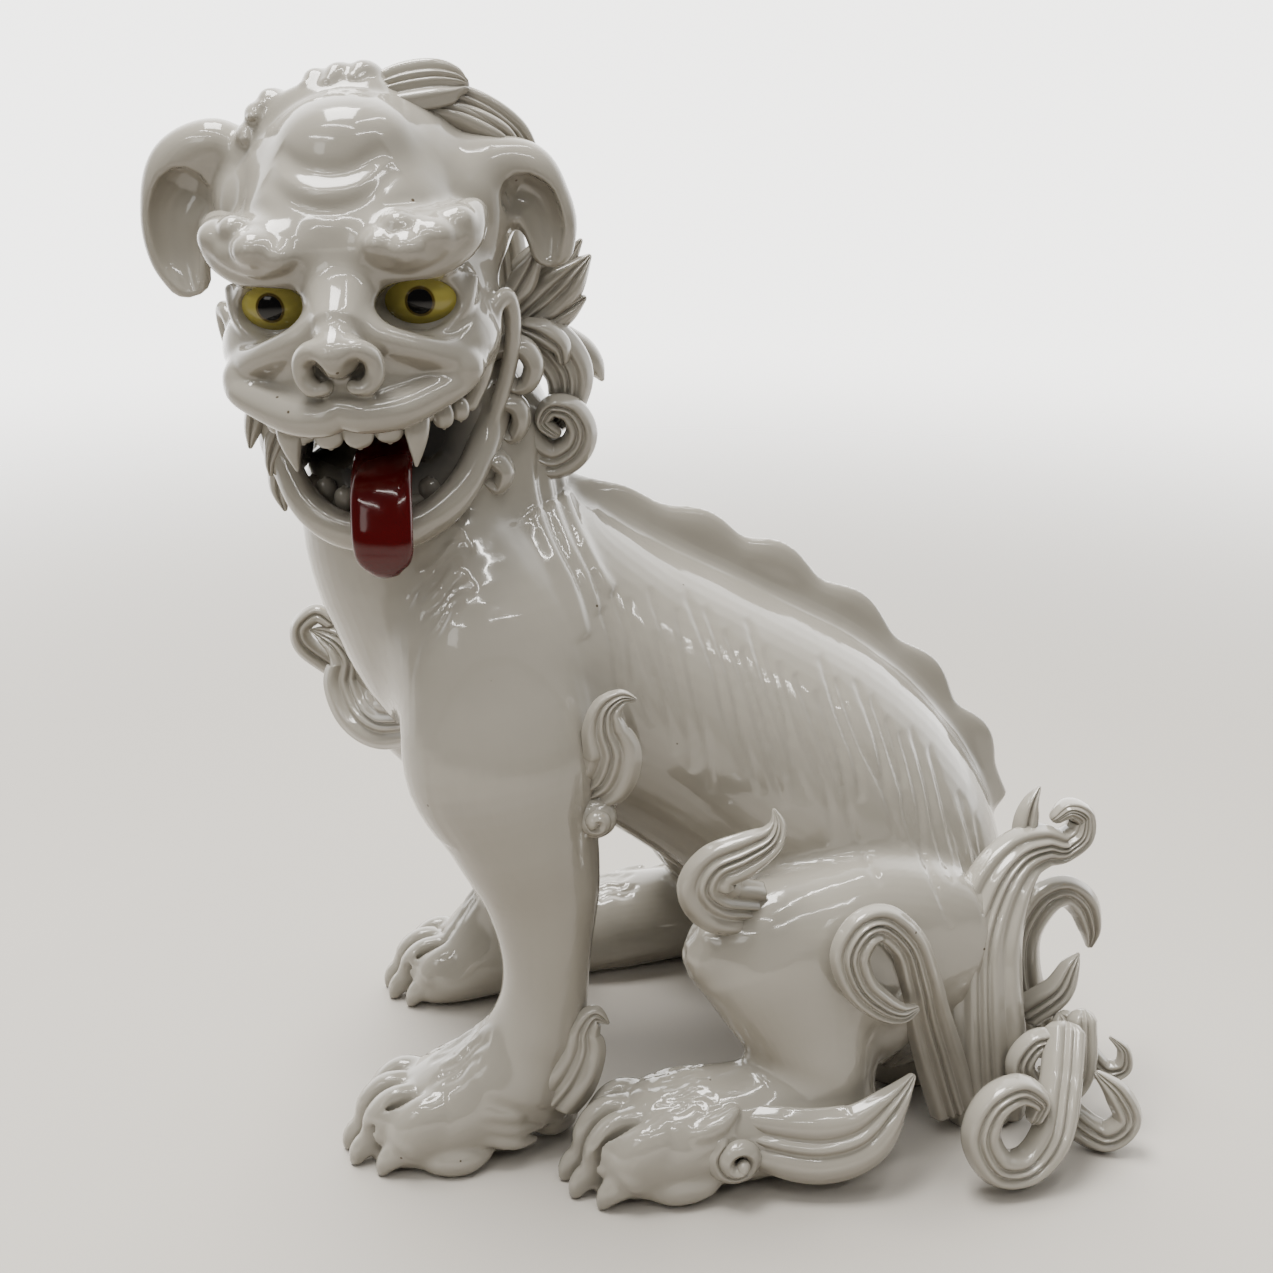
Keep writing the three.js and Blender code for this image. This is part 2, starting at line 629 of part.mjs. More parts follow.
group.position.set(-STATUE_CENTRE[0], -STATUE_CENTRE[1], 0);

export default group;
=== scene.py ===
"""Seated guardian lion statue in white glazed ceramic: the fine sculpture and its glazes.

The rows of numbers that shape the castings, locks and curls follow the CAD model's, in millimetres, in its
modelling frame. to_metres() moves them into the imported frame. The castings are modelled as clay: distance
fields on a grid, joined with fillets as slip joins real clay, then turned into meshes, one for each casting.
"""
import math

import bpy
import numpy as np
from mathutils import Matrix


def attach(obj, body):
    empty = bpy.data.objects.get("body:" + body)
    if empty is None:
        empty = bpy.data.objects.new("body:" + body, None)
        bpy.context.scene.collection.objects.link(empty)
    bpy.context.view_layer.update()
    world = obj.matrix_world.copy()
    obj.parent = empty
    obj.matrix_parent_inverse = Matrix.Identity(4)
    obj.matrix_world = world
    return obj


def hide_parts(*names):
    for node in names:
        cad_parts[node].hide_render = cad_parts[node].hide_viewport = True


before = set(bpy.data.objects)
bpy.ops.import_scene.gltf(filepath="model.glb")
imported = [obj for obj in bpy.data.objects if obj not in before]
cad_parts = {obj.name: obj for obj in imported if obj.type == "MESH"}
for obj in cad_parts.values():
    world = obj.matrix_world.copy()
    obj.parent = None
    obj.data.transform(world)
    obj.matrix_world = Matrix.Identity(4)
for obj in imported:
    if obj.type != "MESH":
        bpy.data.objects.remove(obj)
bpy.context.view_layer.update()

import openvdb as vdb
from mathutils import Matrix, Vector

MM = 0.001
# The middle of the statue's foot, in the modelling frame.
STATUE_CENTRE = np.array([5.67, 2.04, 0.0])
# How far a casting's rim turns in where it meets its neighbour.
WALL = 3.0
# Distances are kept up to this far from a surface, and no fillet is larger.
FAR = 16.0
# A face that lies deeper than this in the neighbour's clay is left out.
BURIED = -9
BODY_VOXEL = 1.35
HEAD_VOXEL = 0.8
DETAIL = 1.0
X, Y, Z = np.eye(3)
NO_TRIANGLES = np.zeros((0, 3), dtype=np.int64)

# The camera's place round the point it looks at, and its lens.
CAMERA_TURN, CAMERA_RISE, CAMERA_DISTANCE = math.radians(80), math.radians(19), 750
CAMERA_TARGET = np.array([0, -8, 228])
SENSOR_WIDTH, FOCAL_LENGTH = 36, 44.96


# ---------------------------------------------------------------- the head's own frame: left, forward, up
HEAD_CENTRE = np.array([2.5, -120.5, 393.6])
HEAD_TURN, HEAD_NOD, HEAD_TILT = (math.radians(angle) for angle in (77, 6, 3))


def head_axes():
    forward = np.array([
        math.sin(HEAD_TURN) * math.cos(HEAD_NOD),
        -math.cos(HEAD_TURN) * math.cos(HEAD_NOD),
        -math.sin(HEAD_NOD),
    ])
    level_left = np.array([math.cos(HEAD_TURN), math.sin(HEAD_TURN), 0.0])
    level_up = -np.cross(level_left, forward)
    left = level_left * math.cos(HEAD_TILT) + level_up * math.sin(HEAD_TILT)
    up = level_up * math.cos(HEAD_TILT) - level_left * math.sin(HEAD_TILT)
    return np.array([left, forward, up])


HEAD_AXES = head_axes()


def from_head(points):
    return HEAD_CENTRE + np.asarray(points, dtype=np.float64) @ HEAD_AXES


def into_head(points):
    return (np.asarray(points, dtype=np.float64) - HEAD_CENTRE) @ HEAD_AXES.T


def to_metres(points):
    return (np.asarray(points, dtype=np.float64) - STATUE_CENTRE) * MM


def mirrored(rows):
    return [[-row[0], *row[1:]] for row in rows]


SIDES = (("left", 1, list), ("right", -1, mirrored))


# ---------------------------------------------------------------- lofts
def interpolate(rows, positions):
    """Catmull-Rom interpolation of every column, at positions from 0 to 1."""
    rows = np.asarray(rows, dtype=np.float64)
    last = len(rows) - 1
    scaled = np.clip(positions, 0, 1) * last
    index = np.minimum(scaled.astype(int), last - 1)
    t = (scaled - index)[:, None]
    a = rows[np.maximum(index - 1, 0)]
    b = rows[index]
    c = rows[index + 1]
    d = rows[np.minimum(index + 2, last)]
    return b + 0.5 * t * (c - a + t * (2 * a - 5 * b + 4 * c - d + t * (3 * b - 3 * c + d - a)))


def unit(vectors):
    return vectors / (np.linalg.norm(vectors, axis=-1, keepdims=True) + 1e-9)


def rings(rows, section, across=None, normal=None, steps=60):
    """Rings of points around a path.

    section(wide, deep) gives each ring's offsets along its two directions.
    """
    data = interpolate(rows, np.linspace(0, 1, steps + 1))
    path = data[:, :3]
    tangent = unit(np.gradient(path, axis=0))
    if across is not None:
        angle = np.radians(data[:, 5]) if data.shape[1] > 5 else np.zeros(len(data))
        wide = np.stack([np.cos(angle), np.sin(angle), np.zeros(len(data))], axis=-1)
    else:
        wide = np.cross(np.asarray(normal, dtype=np.float64), tangent)
    wide = unit(wide - tangent * np.sum(wide * tangent, axis=1, keepdims=True))
    deep = np.cross(tangent, wide)
    u, v = section(np.maximum(data[:, 3], 0.4), np.maximum(data[:, 4], 0.4))
    return path[:, None] + u[..., None] * wide[:, None] + v[..., None] * deep[:, None]


def ellipse_section(sides=40):
    angle = np.linspace(0, 2 * np.pi, sides, endpoint=False)
    return lambda wide, deep: (wide[:, None] * np.cos(angle), deep[:, None] * np.sin(angle))


def ribbed_section(ribs, relief=1.3, sides=112):
    """A strap of round-topped ribs with valleys between them, on both faces."""
    half = sides // 2
    angle = np.linspace(0, np.pi, half, endpoint=False)
    across = 0.55 * np.cos(angle) + 0.45 * (1 - 2 * angle / np.pi)
    u = np.concatenate([across, -across])
    side = np.concatenate([np.ones(half), -np.ones(half)])
    uneven = u + 0.13 * np.sin(np.pi * u) + 0.05 * np.sin(2.3 * np.pi * u)
    arch = np.abs(np.sin(0.5 * np.pi * ribs * (uneven + 1))) ** 1.15
    bow = np.maximum(1 - np.abs(u) ** 3.6, 0) ** 0.5

    def section(wide, deep):
        rib = np.minimum(relief, np.minimum(0.8 * wide / ribs, 0.4 * deep))[:, None]
        return wide[:, None] * u, side * bow * (deep[:, None] - rib * 0.7 + rib * 1.4 * arch)

    return section


def skin(ring_points, rounded=True):
    """Points, quads and end triangles of a closed skin over rings.

    Rounded ends close in two smaller rings.
    """
    if rounded:
        first, second, before, last = ring_points[0], ring_points[1], ring_points[-2], ring_points[-1]
        caps = []
        for end, inner in ((first, second), (last, before)):
            centre = end.mean(axis=0)
            out = unit(centre - inner.mean(axis=0))
            size = np.linalg.norm(end - centre, axis=1).min()
            caps.append([centre + (end - centre) * 0.72 + out * size * 0.55,
                         centre + (end - centre) * 0.3 + out * size * 0.85])
        ring_points = np.concatenate([[caps[0][1], caps[0][0]], ring_points, caps[1]])
    count, sides = ring_points.shape[:2]
    points = ring_points.reshape(-1, 3)
    base = np.arange(count - 1)[:, None] * sides
    side = np.arange(sides)[None]
    after = (side + 1) % sides
    quads = np.stack([base + side, base + after, base + after + sides, base + side + sides], axis=-1)
    quads = quads.reshape(-1, 4)
    ends = np.stack([ring_points[0].mean(axis=0), ring_points[-1].mean(axis=0)])
    loop = np.arange(sides)
    following = (loop + 1) % sides
    offset = (count - 1) * sides
    triangles = np.concatenate([
        np.stack([np.full(sides, len(points)), following, loop], axis=-1),
        np.stack([np.full(sides, len(points) + 1), offset + loop, offset + following], axis=-1),
    ])
    points = np.concatenate([points, ends])
    return outward(points, quads, triangles)


def outward(points, quads, triangles):
    """Turns the faces to look out of the solid."""
    corners = np.concatenate([triangles, quads[:, [0, 1, 2]], quads[:, [0, 2, 3]]])
    a, b, c = (points[corners[:, i]] for i in range(3))
    if np.sum(a * np.cross(b, c)) < 0:
        return points, quads[:, ::-1], triangles[:, ::-1]
    return points, quads, triangles


# ---------------------------------------------------------------- clay: distance fields on a grid
class Clay:
    """A block of clay: each voxel's distance to its surface, negative inside, and the casting it is in."""

    def __init__(self, low, high, voxel):
        self.voxel = voxel
        self.start = np.floor(np.asarray(low) / voxel).astype(int)
        count = np.ceil(np.asarray(high) / voxel).astype(int) - self.start + 1
        self.values = np.full(count, FAR, dtype=np.float32)
        self.labels = np.zeros(count, dtype=np.uint8)
        self.names = []

    def window(self, low, high):
        count = np.array(self.values.shape)
        first = np.clip(np.floor(np.asarray(low) / self.voxel).astype(int) - self.start, 0, count)
        last = np.clip(np.ceil(np.asarray(high) / self.voxel).astype(int) + 1 - self.start, 0, count)
        return first, last

    def merge(self, first, last, field, fillet, cut, label):
        span = tuple(slice(a, b) for a, b in zip(first, last))
        block = self.values[span]
        if cut:
            block *= -1
        mix = np.clip(0.5 + 0.5 * (block - field) / fillet, 0, 1)
        block += mix * (field - block) - fillet * mix * (1 - mix)
        if cut:
            block *= -1
        if label is not None:
            if label not in self.names:
                self.names.append(label)
            self.labels[span][mix > 0.5] = self.names.index(label)

    def loft(self, rows, label=None, fillet=3.0, cut=False, steps=50, sides=36, rounded=True, **shape):
        points, quads, triangles = skin(rings(rows, ellipse_section(sides), steps=steps, **shape), rounded)
        first, last = self.window(points.min(axis=0) - FAR, points.max(axis=0) + FAR)
        if np.any(last <= first):
            return
        grid = vdb.FloatGrid.createLevelSetFromPolygons(
            points.astype(np.float32), triangles=triangles.astype(np.uint32), quads=quads.astype(np.uint32),
            transform=vdb.createLinearTransform(voxelSize=self.voxel), halfWidth=FAR / self.voxel)
        field = np.empty(last - first, dtype=np.float32)
        grid.copyToArray(field, ijk=tuple(int(i) for i in first + self.start))
        self.merge(first, last, field, fillet, cut, label)

    def ball(self, centre, radii, label=None, fillet=3.0, cut=False, axes=None):
        centre = np.asarray(centre, dtype=np.float32)
        radii = np.asarray(radii, dtype=np.float32)
        reach = FAR + (radii if axes is None else radii.max())
        first, last = self.window(centre - reach, centre + reach)
        if np.any(last <= first):
            return
        offset = [((np.arange(first[i], last[i]) + self.start[i]) * self.voxel - centre[i]).astype(np.float32)
                  for i in range(3)]
        x, y, z = offset[0][:, None, None], offset[1][None, :, None], offset[2][None, None, :]
        if axes is not None:
            x, y, z = (axis[0] * x + axis[1] * y + axis[2] * z for axis in axes)
        x, y, z = x / radii[0], y / radii[1], z / radii[2]
        near = np.sqrt(x * x + y * y + z * z)
        slope = np.sqrt((x / radii[0]) ** 2 + (y / radii[1]) ** 2 + (z / radii[2]) ** 2) + 1e-6
        field = np.clip(near * (near - 1) / slope, -FAR, FAR).astype(np.float32)
        self.merge(first, last, field, fillet, cut, label)

    def sample(self, points):
        """Distances at any points, by linear interpolation."""
        place = points / self.voxel - self.start
        count = np.array(self.values.shape)
        base = np.clip(np.floor(place).astype(int), 0, count - 2)
        part = np.clip(place - base, 0, 1).astype(np.float32)
        result = np.zeros(len(points), dtype=np.float32)
        for corner in range(8):
            bit = np.array([corner >> 2 & 1, corner >> 1 & 1, corner & 1])
            weight = np.prod(np.where(bit, part, 1 - part), axis=1)
            at = base + bit
            result += weight * self.values[at[:, 0], at[:, 1], at[:, 2]]
        return np.where(np.all((place >= 0) & (place <= count - 1), axis=1), result, FAR)

    def slope(self, points):
        parts = []
        for axis in np.eye(3) * self.voxel:
            parts.append(self.sample(points + axis) - self.sample(points - axis))
        return unit(np.stack(parts, axis=-1))

    def surface(self):
        """The clay's surface: points, quads and the casting that each quad belongs to."""
        grid = vdb.FloatGrid(FAR)
        grid.copyFromArray(self.values, ijk=tuple(int(i) for i in self.start))
        grid.transform = vdb.createLinearTransform(voxelSize=self.voxel)
        points, quads = grid.convertToQuads(0.0)
        points = np.asarray(points, dtype=np.float64)
        quads = np.asarray(quads).astype(np.int64)
        for _ in range(2):
            points -= self.slope(points) * self.sample(points)[:, None]
        middle = points[quads].mean(axis=1)
        last = np.array(self.labels.shape) - 1
        at = np.clip(np.round(middle / self.voxel).astype(int) - self.start, 0, last)
        points, quads, _ = outward(points, quads, NO_TRIANGLES)
        return points, quads, self.labels[at[:, 0], at[:, 1], at[:, 2]]


def vertex_normals(points, quads):
    face = np.cross(points[quads[:, 2]] - points[quads[:, 0]], points[quads[:, 3]] - points[quads[:, 1]])
    total = np.zeros_like(points)
    for corner in range(4):
        for axis in range(3):
            total[:, axis] += np.bincount(quads[:, corner], weights=face[:, axis], minlength=len(points))
    return unit(total)


def carve(points, normals, lines, drop, side, width, depth):
    """Presses lines into the surface, or raises them with a negative depth.

    A line is a list of points in the plane left when the drop axis is dropped, and works on the surface that
    faces the given side of that axis.
    """
    keep = [axis for axis in range(3) if axis != drop]
    flat = points[:, keep]
    facing = np.clip(normals[:, drop] * side * 2.5, 0, 1)
    move = np.zeros(len(points))
    for line in lines:
        path = interpolate(line, np.linspace(0, 1, 5 * len(line)))
        reach = 3 * width
        inside = (flat > path.min(axis=0) - reach) & (flat < path.max(axis=0) + reach)
        near = np.flatnonzero(np.all(inside, axis=1) & (facing > 0))
        if len(near) == 0:
            continue
        best = np.full(len(near), 1e9)
        along = np.zeros(len(near))
        for index, (a, b) in enumerate(zip(path[:-1], path[1:])):
            step = b - a
            t = np.clip((flat[near] - a) @ step / (step @ step + 1e-9), 0, 1)
            gap = np.linalg.norm(flat[near] - a - t[:, None] * step, axis=1)
            closer = gap < best
            best[closer] = gap[closer]
            along[closer] = (index + t[closer]) / (len(path) - 1)
        taper = np.clip(np.sin(np.pi * along), 0, 1) ** 0.5
        amount = depth * taper * np.exp(-(best / width) ** 2)
        move[near] = np.where(np.abs(amount) > np.abs(move[near]), amount, move[near])
    return points - normals * (move * facing)[:, None]


# ---------------------------------------------------------------- the body in clay
TRUNK = [
    [0, 128, -6, 52, 40, 0], [0, 127, 30, 66, 50, 0], [0, 122, 70, 72, 60, 0], [0, 104, 115, 75, 69, 0],
    [0, 65, 158, 75, 72, 0], [0, 12, 194, 70, 67, 5], [0, -38, 222, 68, 66, 15], [-2, -78, 252, 66, 66, 25],
    [-3, -97, 290, 54, 63, 25], [0, -98, 328, 43, 56, 25], [2, -101, 346, 36, 46, 25],
    [2, -104, 358, 29, 38, 25],
]
FORELEG_LEFT = [
    [42, -90, 292, 8, 10], [52, -84, 262, 26, 32], [58, -80, 228, 34, 40], [64, -77, 195, 36, 43],
    [66, -70, 165, 30, 34], [65, -63, 135, 24, 27], [64, -61, 105, 21, 21], [63, -62, 80, 20, 20],
    [62, -66, 58, 21, 24], [60, -74, 40, 22, 26],
]
FOREPAW_LEFT = [
    [61, -62, 22, 17, 14], [60, -74, 28, 23, 28], [58, -92, 26, 27, 28], [57, -110, 20, 28, 24],
    [57, -126, 12, 26, 18], [57, -138, 6, 20, 10],
]
FORELEG_RIGHT = [
    [-40, -104, 276, 8, 10], [-48, -105, 246, 24, 30], [-54, -104, 215, 32, 38], [-60, -101, 185, 34, 38],
    [-66, -90, 155, 27, 30], [-69, -79, 125, 22, 24], [-70, -68, 95, 20, 20], [-72, -64, 65, 20, 20],
    [-75, -68, 46, 21, 24], [-77, -73, 30, 22, 26],
]
FOREPAW_RIGHT = [
    [-76, -50, 20, 17, 14], [-77, -62, 24, 23, 24], [-78, -78, 22, 27, 23], [-80, -94, 16, 28, 19],
    [-82, -108, 10, 25, 14], [-83, -116, 5, 19, 8],
]
HAUNCH = [
    [66, 132, 50, 14, 40], [72, 112, 72, 24, 56], [78, 82, 88, 29, 56], [83, 52, 98, 29, 46],
    [86, 28, 105, 26, 34], [87, 10, 108, 14, 18],
]
SHIN = [[84, 36, 104, 24, 32], [90, 50, 76, 24, 29], [96, 62, 50, 21, 24], [98, 66, 28, 18, 20]]
HINDPAW = [
    [100, 84, 12, 12, 12], [100, 64, 19, 19, 20], [99, 36, 24, 24, 26], [98, 10, 24, 27, 27],
    [98, -10, 22, 28, 27], [98, -28, 14, 26, 20], [98, -40, 7, 20, 11],
]
# Balls in the head's frame that carry the neck into the head.
NECK_TOP = (((6, -14, -40), (42, 36, 38)), ((0, -4, 20), (48, 54, 50)))
VENT = (0, 128, 0)
FORECLAWS_LEFT = [[42, -138], [54, -144], [66, -141], [76, -129]]
FORECLAWS_RIGHT = [[-65, -110], [-75, -119], [-87, -121], [-98, -113]]
HINDCLAWS = [[82, -40], [94, -47], [107, -44], [117, -33]]
SPINE = [
    [0, -44, 300, 5, 8], [0, -20, 289, 5, 14], [0, 0, 281, 5, 12], [0, 20, 274, 5, 15], [0, 38, 264, 5, 12],
    [0, 56, 256, 5, 16], [0, 75, 242, 5, 12], [0, 94, 230, 5, 16], [0, 112, 212, 5, 12], [0, 130, 196, 5, 16],
    [0, 144, 177, 5, 12], [0, 158, 161, 5, 16], [0, 166, 144, 5, 12], [0, 173, 128, 5, 12],
]


def add_toe(clay, label, back, knuckle, tip):
    """One toe, from the back of the paw over its knuckle to a claw that stands in a fold of skin."""
    x, y, z = tip
    (kx, ky, kz), (bx, by, bz) = knuckle, back
    clay.loft([[bx, by, bz, 5, 6], [0.4 * bx + 0.6 * kx, 0.4 * by + 0.6 * ky, kz - 3, 8, 11],
               [kx, ky, kz - 3, 9.6, 13],
               [0.3 * kx + 0.7 * x, 0.5 * (ky + y) + 1, 0.5 * (kz + z) + 1, 9.4, 12.5],
               [x, y + 5, z + 5, 8, 10]], label, fillet=4, across=X, steps=30)
    clay.loft([[x, y + 8, z + 9, 9, 9.5], [x, y + 4, z + 6, 9.4, 10.6], [x, y + 1.5, z + 4, 7.4, 8.4]], label,
              fillet=0.5, across=X, steps=12)
    clay.loft([[x, y + 4, z + 3, 6.4, 7], [x, y - 2, z, 6.2, 6.6], [x, y - 6, z - 4, 5, 5.2],
               [x, y - 8, z - 9, 2.6, 3]], label, fillet=0.4, across=X, steps=16)


def part_toes(clay, toes, high):
    """Presses a deep crease between each pair of toes."""
    for (ax, ay), (bx, by) in zip(toes, toes[1:]):
        x, y = 0.5 * (ax + bx), 0.5 * (ay + by)
        clay.loft([[x, y + 17, high + 19, 0.5, 2], [x, y + 9, high + 9, 1, 5], [x, y + 1, high - 7, 1.4, 8],
                   [x, y - 4, 13, 1.7, 10], [x, y - 8, 2, 1.8, 7]], fillet=3.4, cut=True, across=X, steps=30)


def make_body():
    """The trunk, legs and paws in one block of clay, with the head's bulk on top and the vent cut out."""
    clay = Clay((-138, -172, -8), (138, 190, 366), BODY_VOXEL)
    clay.loft(TRUNK, "torso_shell", across=X, steps=90, sides=64, fillet=0.1, rounded=False)
    clay.ball((10, -78, 236), (58, 56, 52), "torso_shell", fillet=FAR)
    clay.loft(FORELEG_LEFT, "foreleg_left", fillet=FAR, across=X, sides=48, rounded=False)
    clay.loft(FORELEG_RIGHT, "foreleg_right", fillet=FAR, across=X, sides=48, rounded=False)
    for side, _, mirror in SIDES:
        clay.loft(mirror(HAUNCH), f"hindleg_{side}", fillet=9, across=X, sides=56)
        clay.loft(mirror(SHIN), f"hindleg_{side}", fillet=11, across=X, sides=48)
        clay.loft(mirror(HINDPAW), f"hindpaw_{side}", fillet=14, across=X, sides=48)
    clay.loft(FOREPAW_LEFT, "forepaw_left", fillet=13, across=X, sides=48)
    clay.loft(FOREPAW_RIGHT, "forepaw_right", fillet=13, across=X, sides=48)
    for label, toes, middle, high in (
        ("forepaw_left", FORECLAWS_LEFT, 58, 29), ("forepaw_right", FORECLAWS_RIGHT, -82, 25),
        ("hindpaw_left", HINDCLAWS, 99, 32), ("hindpaw_right", mirrored(HINDCLAWS), -99, 32),
    ):
        for x, y in toes:
            add_toe(clay, label, (middle + 0.8 * (x - middle), y + 24, high + 2),
                    (middle + 0.96 * (x - middle), y + 11, high), (x, y - 3, 10))
        part_toes(clay, toes, high)
    for label, flip, x, y in (("forepaw_left", 1, 57, -112), ("forepaw_right", -1, -82, -92)):
        clay.loft([[x + flip * 14, y - 12, 7, 6, 5], [x + flip * 23, y - 2, 7, 6, 7],
                   [x + flip * 25, y + 10, 7, 5.5, 7], [x + flip * 22, y + 20, 8, 3, 4]],
                  label, fillet=2.5, across=X)
        for drop, reach in ((0, 45), (7, 42), (-7, 39)):
            clay.loft([[x + flip * 16, y + 10, 25 - drop, 4, 5], [x + flip * 22.5, y + 22, 24 - drop, 5, 5],
                       [x + flip * 23.5, y + 33, 21 - drop, 4.5, 4.5],
                       [x + flip * 20, y + reach, 18 - drop, 2, 2]], label, fillet=2, across=X)
        clay.ball((x - flip * 2, y + 52, 11), (16, 14, 10), label, fillet=6)
    for side, _, mirror in SIDES:
        clay.loft(mirror([[116, -24, 10, 6, 6], [121, -12, 9, 6, 8], [122, 2, 10, 4, 6],
                          [120, 10, 14, 1.5, 2]]), f"hindpaw_{side}", fillet=2, across=X)
        for lock in (0, 7, -7):
            clay.loft(mirror([[114, -12 + lock * 0.4, 26 + lock, 4, 5], [119.5, -1, 29 + lock, 5, 5],
                              [120.5, 8, 33 + lock, 4.5, 4.5], [118, 16, 38 + lock, 2, 2]]),
                      f"hindpaw_{side}", fillet=2, across=X)
    clay.loft(SPINE, "spine_crest", fillet=10, across=X, steps=160, sides=24)
    for centre, radii in NECK_TOP:
        clay.ball(from_head(centre), radii, "torso_shell", fillet=FAR, axes=HEAD_AXES)
    clay.ball(VENT, (16, 16, 22), fillet=1.5, cut=True)
    ground = -(np.arange(clay.values.shape[2]) + clay.start[2]) * clay.voxel
    np.maximum(clay.values, ground.astype(np.float32), out=clay.values)
    return clay


def flank_lines():
    """The long combed strands of the coat, from the spine down both flanks."""
    random = np.random.default_rng(3)
    lines = []
    spine = np.array([[row[1], row[2]] for row in SPINE])
    for start in np.arange(-34, 150, 7.0):
        top = np.interp(start, spine[:, 0], spine[:, 1])
        y = start + random.uniform(-3, 3)
        high = top - random.uniform(16, 34)
        length = random.uniform(52, 88) * (0.8 if start > 110 else 1)
        lean = random.uniform(0.14, 0.34)
        bend = random.uniform(-5, 4)
        lines.append([(y, high), (y + lean * 0.35 * length, high - 0.35 * length),
                      (y + lean * 0.7 * length + bend, high - 0.7 * length),
                      (y + lean * length + bend * 0.5, high - length)])
    return lines


def neck_lines():
    """Three raised strands down the side of the neck."""
    return [[(-58 + shift, 335), (-60 + shift, 312), (-56 + shift, 292), (-47 + shift, 272),
             (-42 + shift, 252 + shift)] for shift in (0, 8, 15)]


def paw_lines(x, y, flip):
    """Tufts of hair pressed into the top of a paw, behind each knuckle."""
    lines = []
    for toe in (-1, 0, 1):
        for shift, length in ((-4, 20), (0, 28), (4, 18)):
            a = x + flip * (toe * 12 + shift * 0.7)
            b = y + abs(shift) * 1.2
            lines.append([(a, b), (a + flip * 1.5, b + 0.4 * length), (a - flip * 0.5, b + 0.75 * length),
                          (a + flip * 2, b + length)])
    return lines


# ---------------------------------------------------------------- the head in clay, in its own frame
SKULL = [
    ((0, -2, 30), (54, 59, 55), 0.1), ((0, 20, -6), (55, 46, 44), 14), ((8, -8, -48), (46, 42, 40), 14),
    ((0, 46, -12), (44, 34, 24), 14), ((0, 57, -23), (33, 27, 14), 10), ((0, 40, 26), (40, 26, 34), 12),
]
UPPER_LIP = [
    [-48, 57, -22, 4, 4], [-45, 64, -25, 6.5, 6.5], [-36, 71, -28.5, 6.8, 7], [-21, 80, -32.5, 7, 7.5],
    [-8, 85, -33, 6.5, 7], [0, 85.5, -30.5, 5.5, 6.5], [8, 85, -32, 6.5, 7], [21, 79, -32, 7, 7.5],
    [34, 69, -28.5, 6.8, 7], [43, 61, -25, 6.5, 6.5], [48, 53, -21, 5, 5],
]
JAW_RIM = [
    [52, 4, -34, 5, 6], [48, 18, -52, 7, 8], [42, 34, -66, 7, 8], [32, 50, -79, 7, 8],
    [16, 61, -87, 7, 8], [0, 65, -88, 7, 8], [-16, 63, -84, 7, 8], [-28, 56, -76, 7, 8],
    [-37, 46, -63, 6, 8], [-44, 32, -52, 6, 7], [-50, 10, -38, 5, 5],
]
BROW = [[9, 57, 28, 7, 6], [17, 60, 26.5, 11, 10.5], [27, 60.5, 26, 13, 12], [38, 57, 27, 12.5, 12],
        [46, 49, 30, 10.5, 11], [50, 40, 34, 7, 8]]
BROW_LOBES = {
    "left": [([19, 67.5, 29.5], 7), ([29, 68.5, 27.5], 8), ([39, 64, 31], 7.5), ([47, 55, 35], 6.5),
             ([26, 64, 36], 6)],
    "right": [([-21, 68, 26.5], 7.5), ([-29.5, 68.5, 30], 8.5), ([-46, 56, 33], 8.5), ([-38, 62, 37], 6)],
}
BROW_GROOVES = [[(12, 24), (18, 20), (28, 17.5), (37, 19.5), (45, 23.5), (52, 29)]]
HAIRLINE = [(-38, 19, 64), (-33, 18, 71), (-27, 16, 76), (-9, 13, 82), (0, 12, 84), (9, 11, 84)]
SMILE_FOLD = [
    [34, 42, -84, 4, 3.5], [41, 34, -70, 5, 3.5], [49, 26, -52, 5.5, 3.5], [57, 21, -30, 5.5, 3.5],
    [60, 22, -12, 5, 3.5], [59, 26, -2, 4, 3.5], [55, 32, -5, 4, 3], [52, 35, -18, 4, 3], [48, 38, -31, 4, 3],
    [42, 42, -42, 3, 3],
]
EAR_LEFT = [
    [42, 8, 46, 8, 9], [55, 6, 48, 11, 10], [67, 3, 43, 13, 10], [73, 2, 32, 12.5, 9.5],
    [76, 2, 21, 11.5, 8.5], [76, 3, 9, 8.5, 5],
]
EAR_RIGHT = [
    [-43, 8, 56, 8, 9], [-57, 8, 61, 11, 10], [-72, 8, 52, 14.5, 9.5], [-78, 10, 35, 14.5, 9],
    [-78, 12, 19, 13.5, 8], [-75, 14, 6, 9, 5],
]


def ear(clay, rows, label):
    """A drooping ear: a thick leaf with a hollow in its front face and a rolled rim."""
    clay.loft(rows, label, fillet=7, normal=Y, sides=48)
    hollow = [[s - 1.2 * np.sign(s), f + 8, u, wide - 3.8, deep + 1.5] for s, f, u, wide, deep in rows[2:]]
    hollow[0][2] -= 7
    clay.loft(hollow, fillet=2.5, cut=True, normal=Y, sides=40)


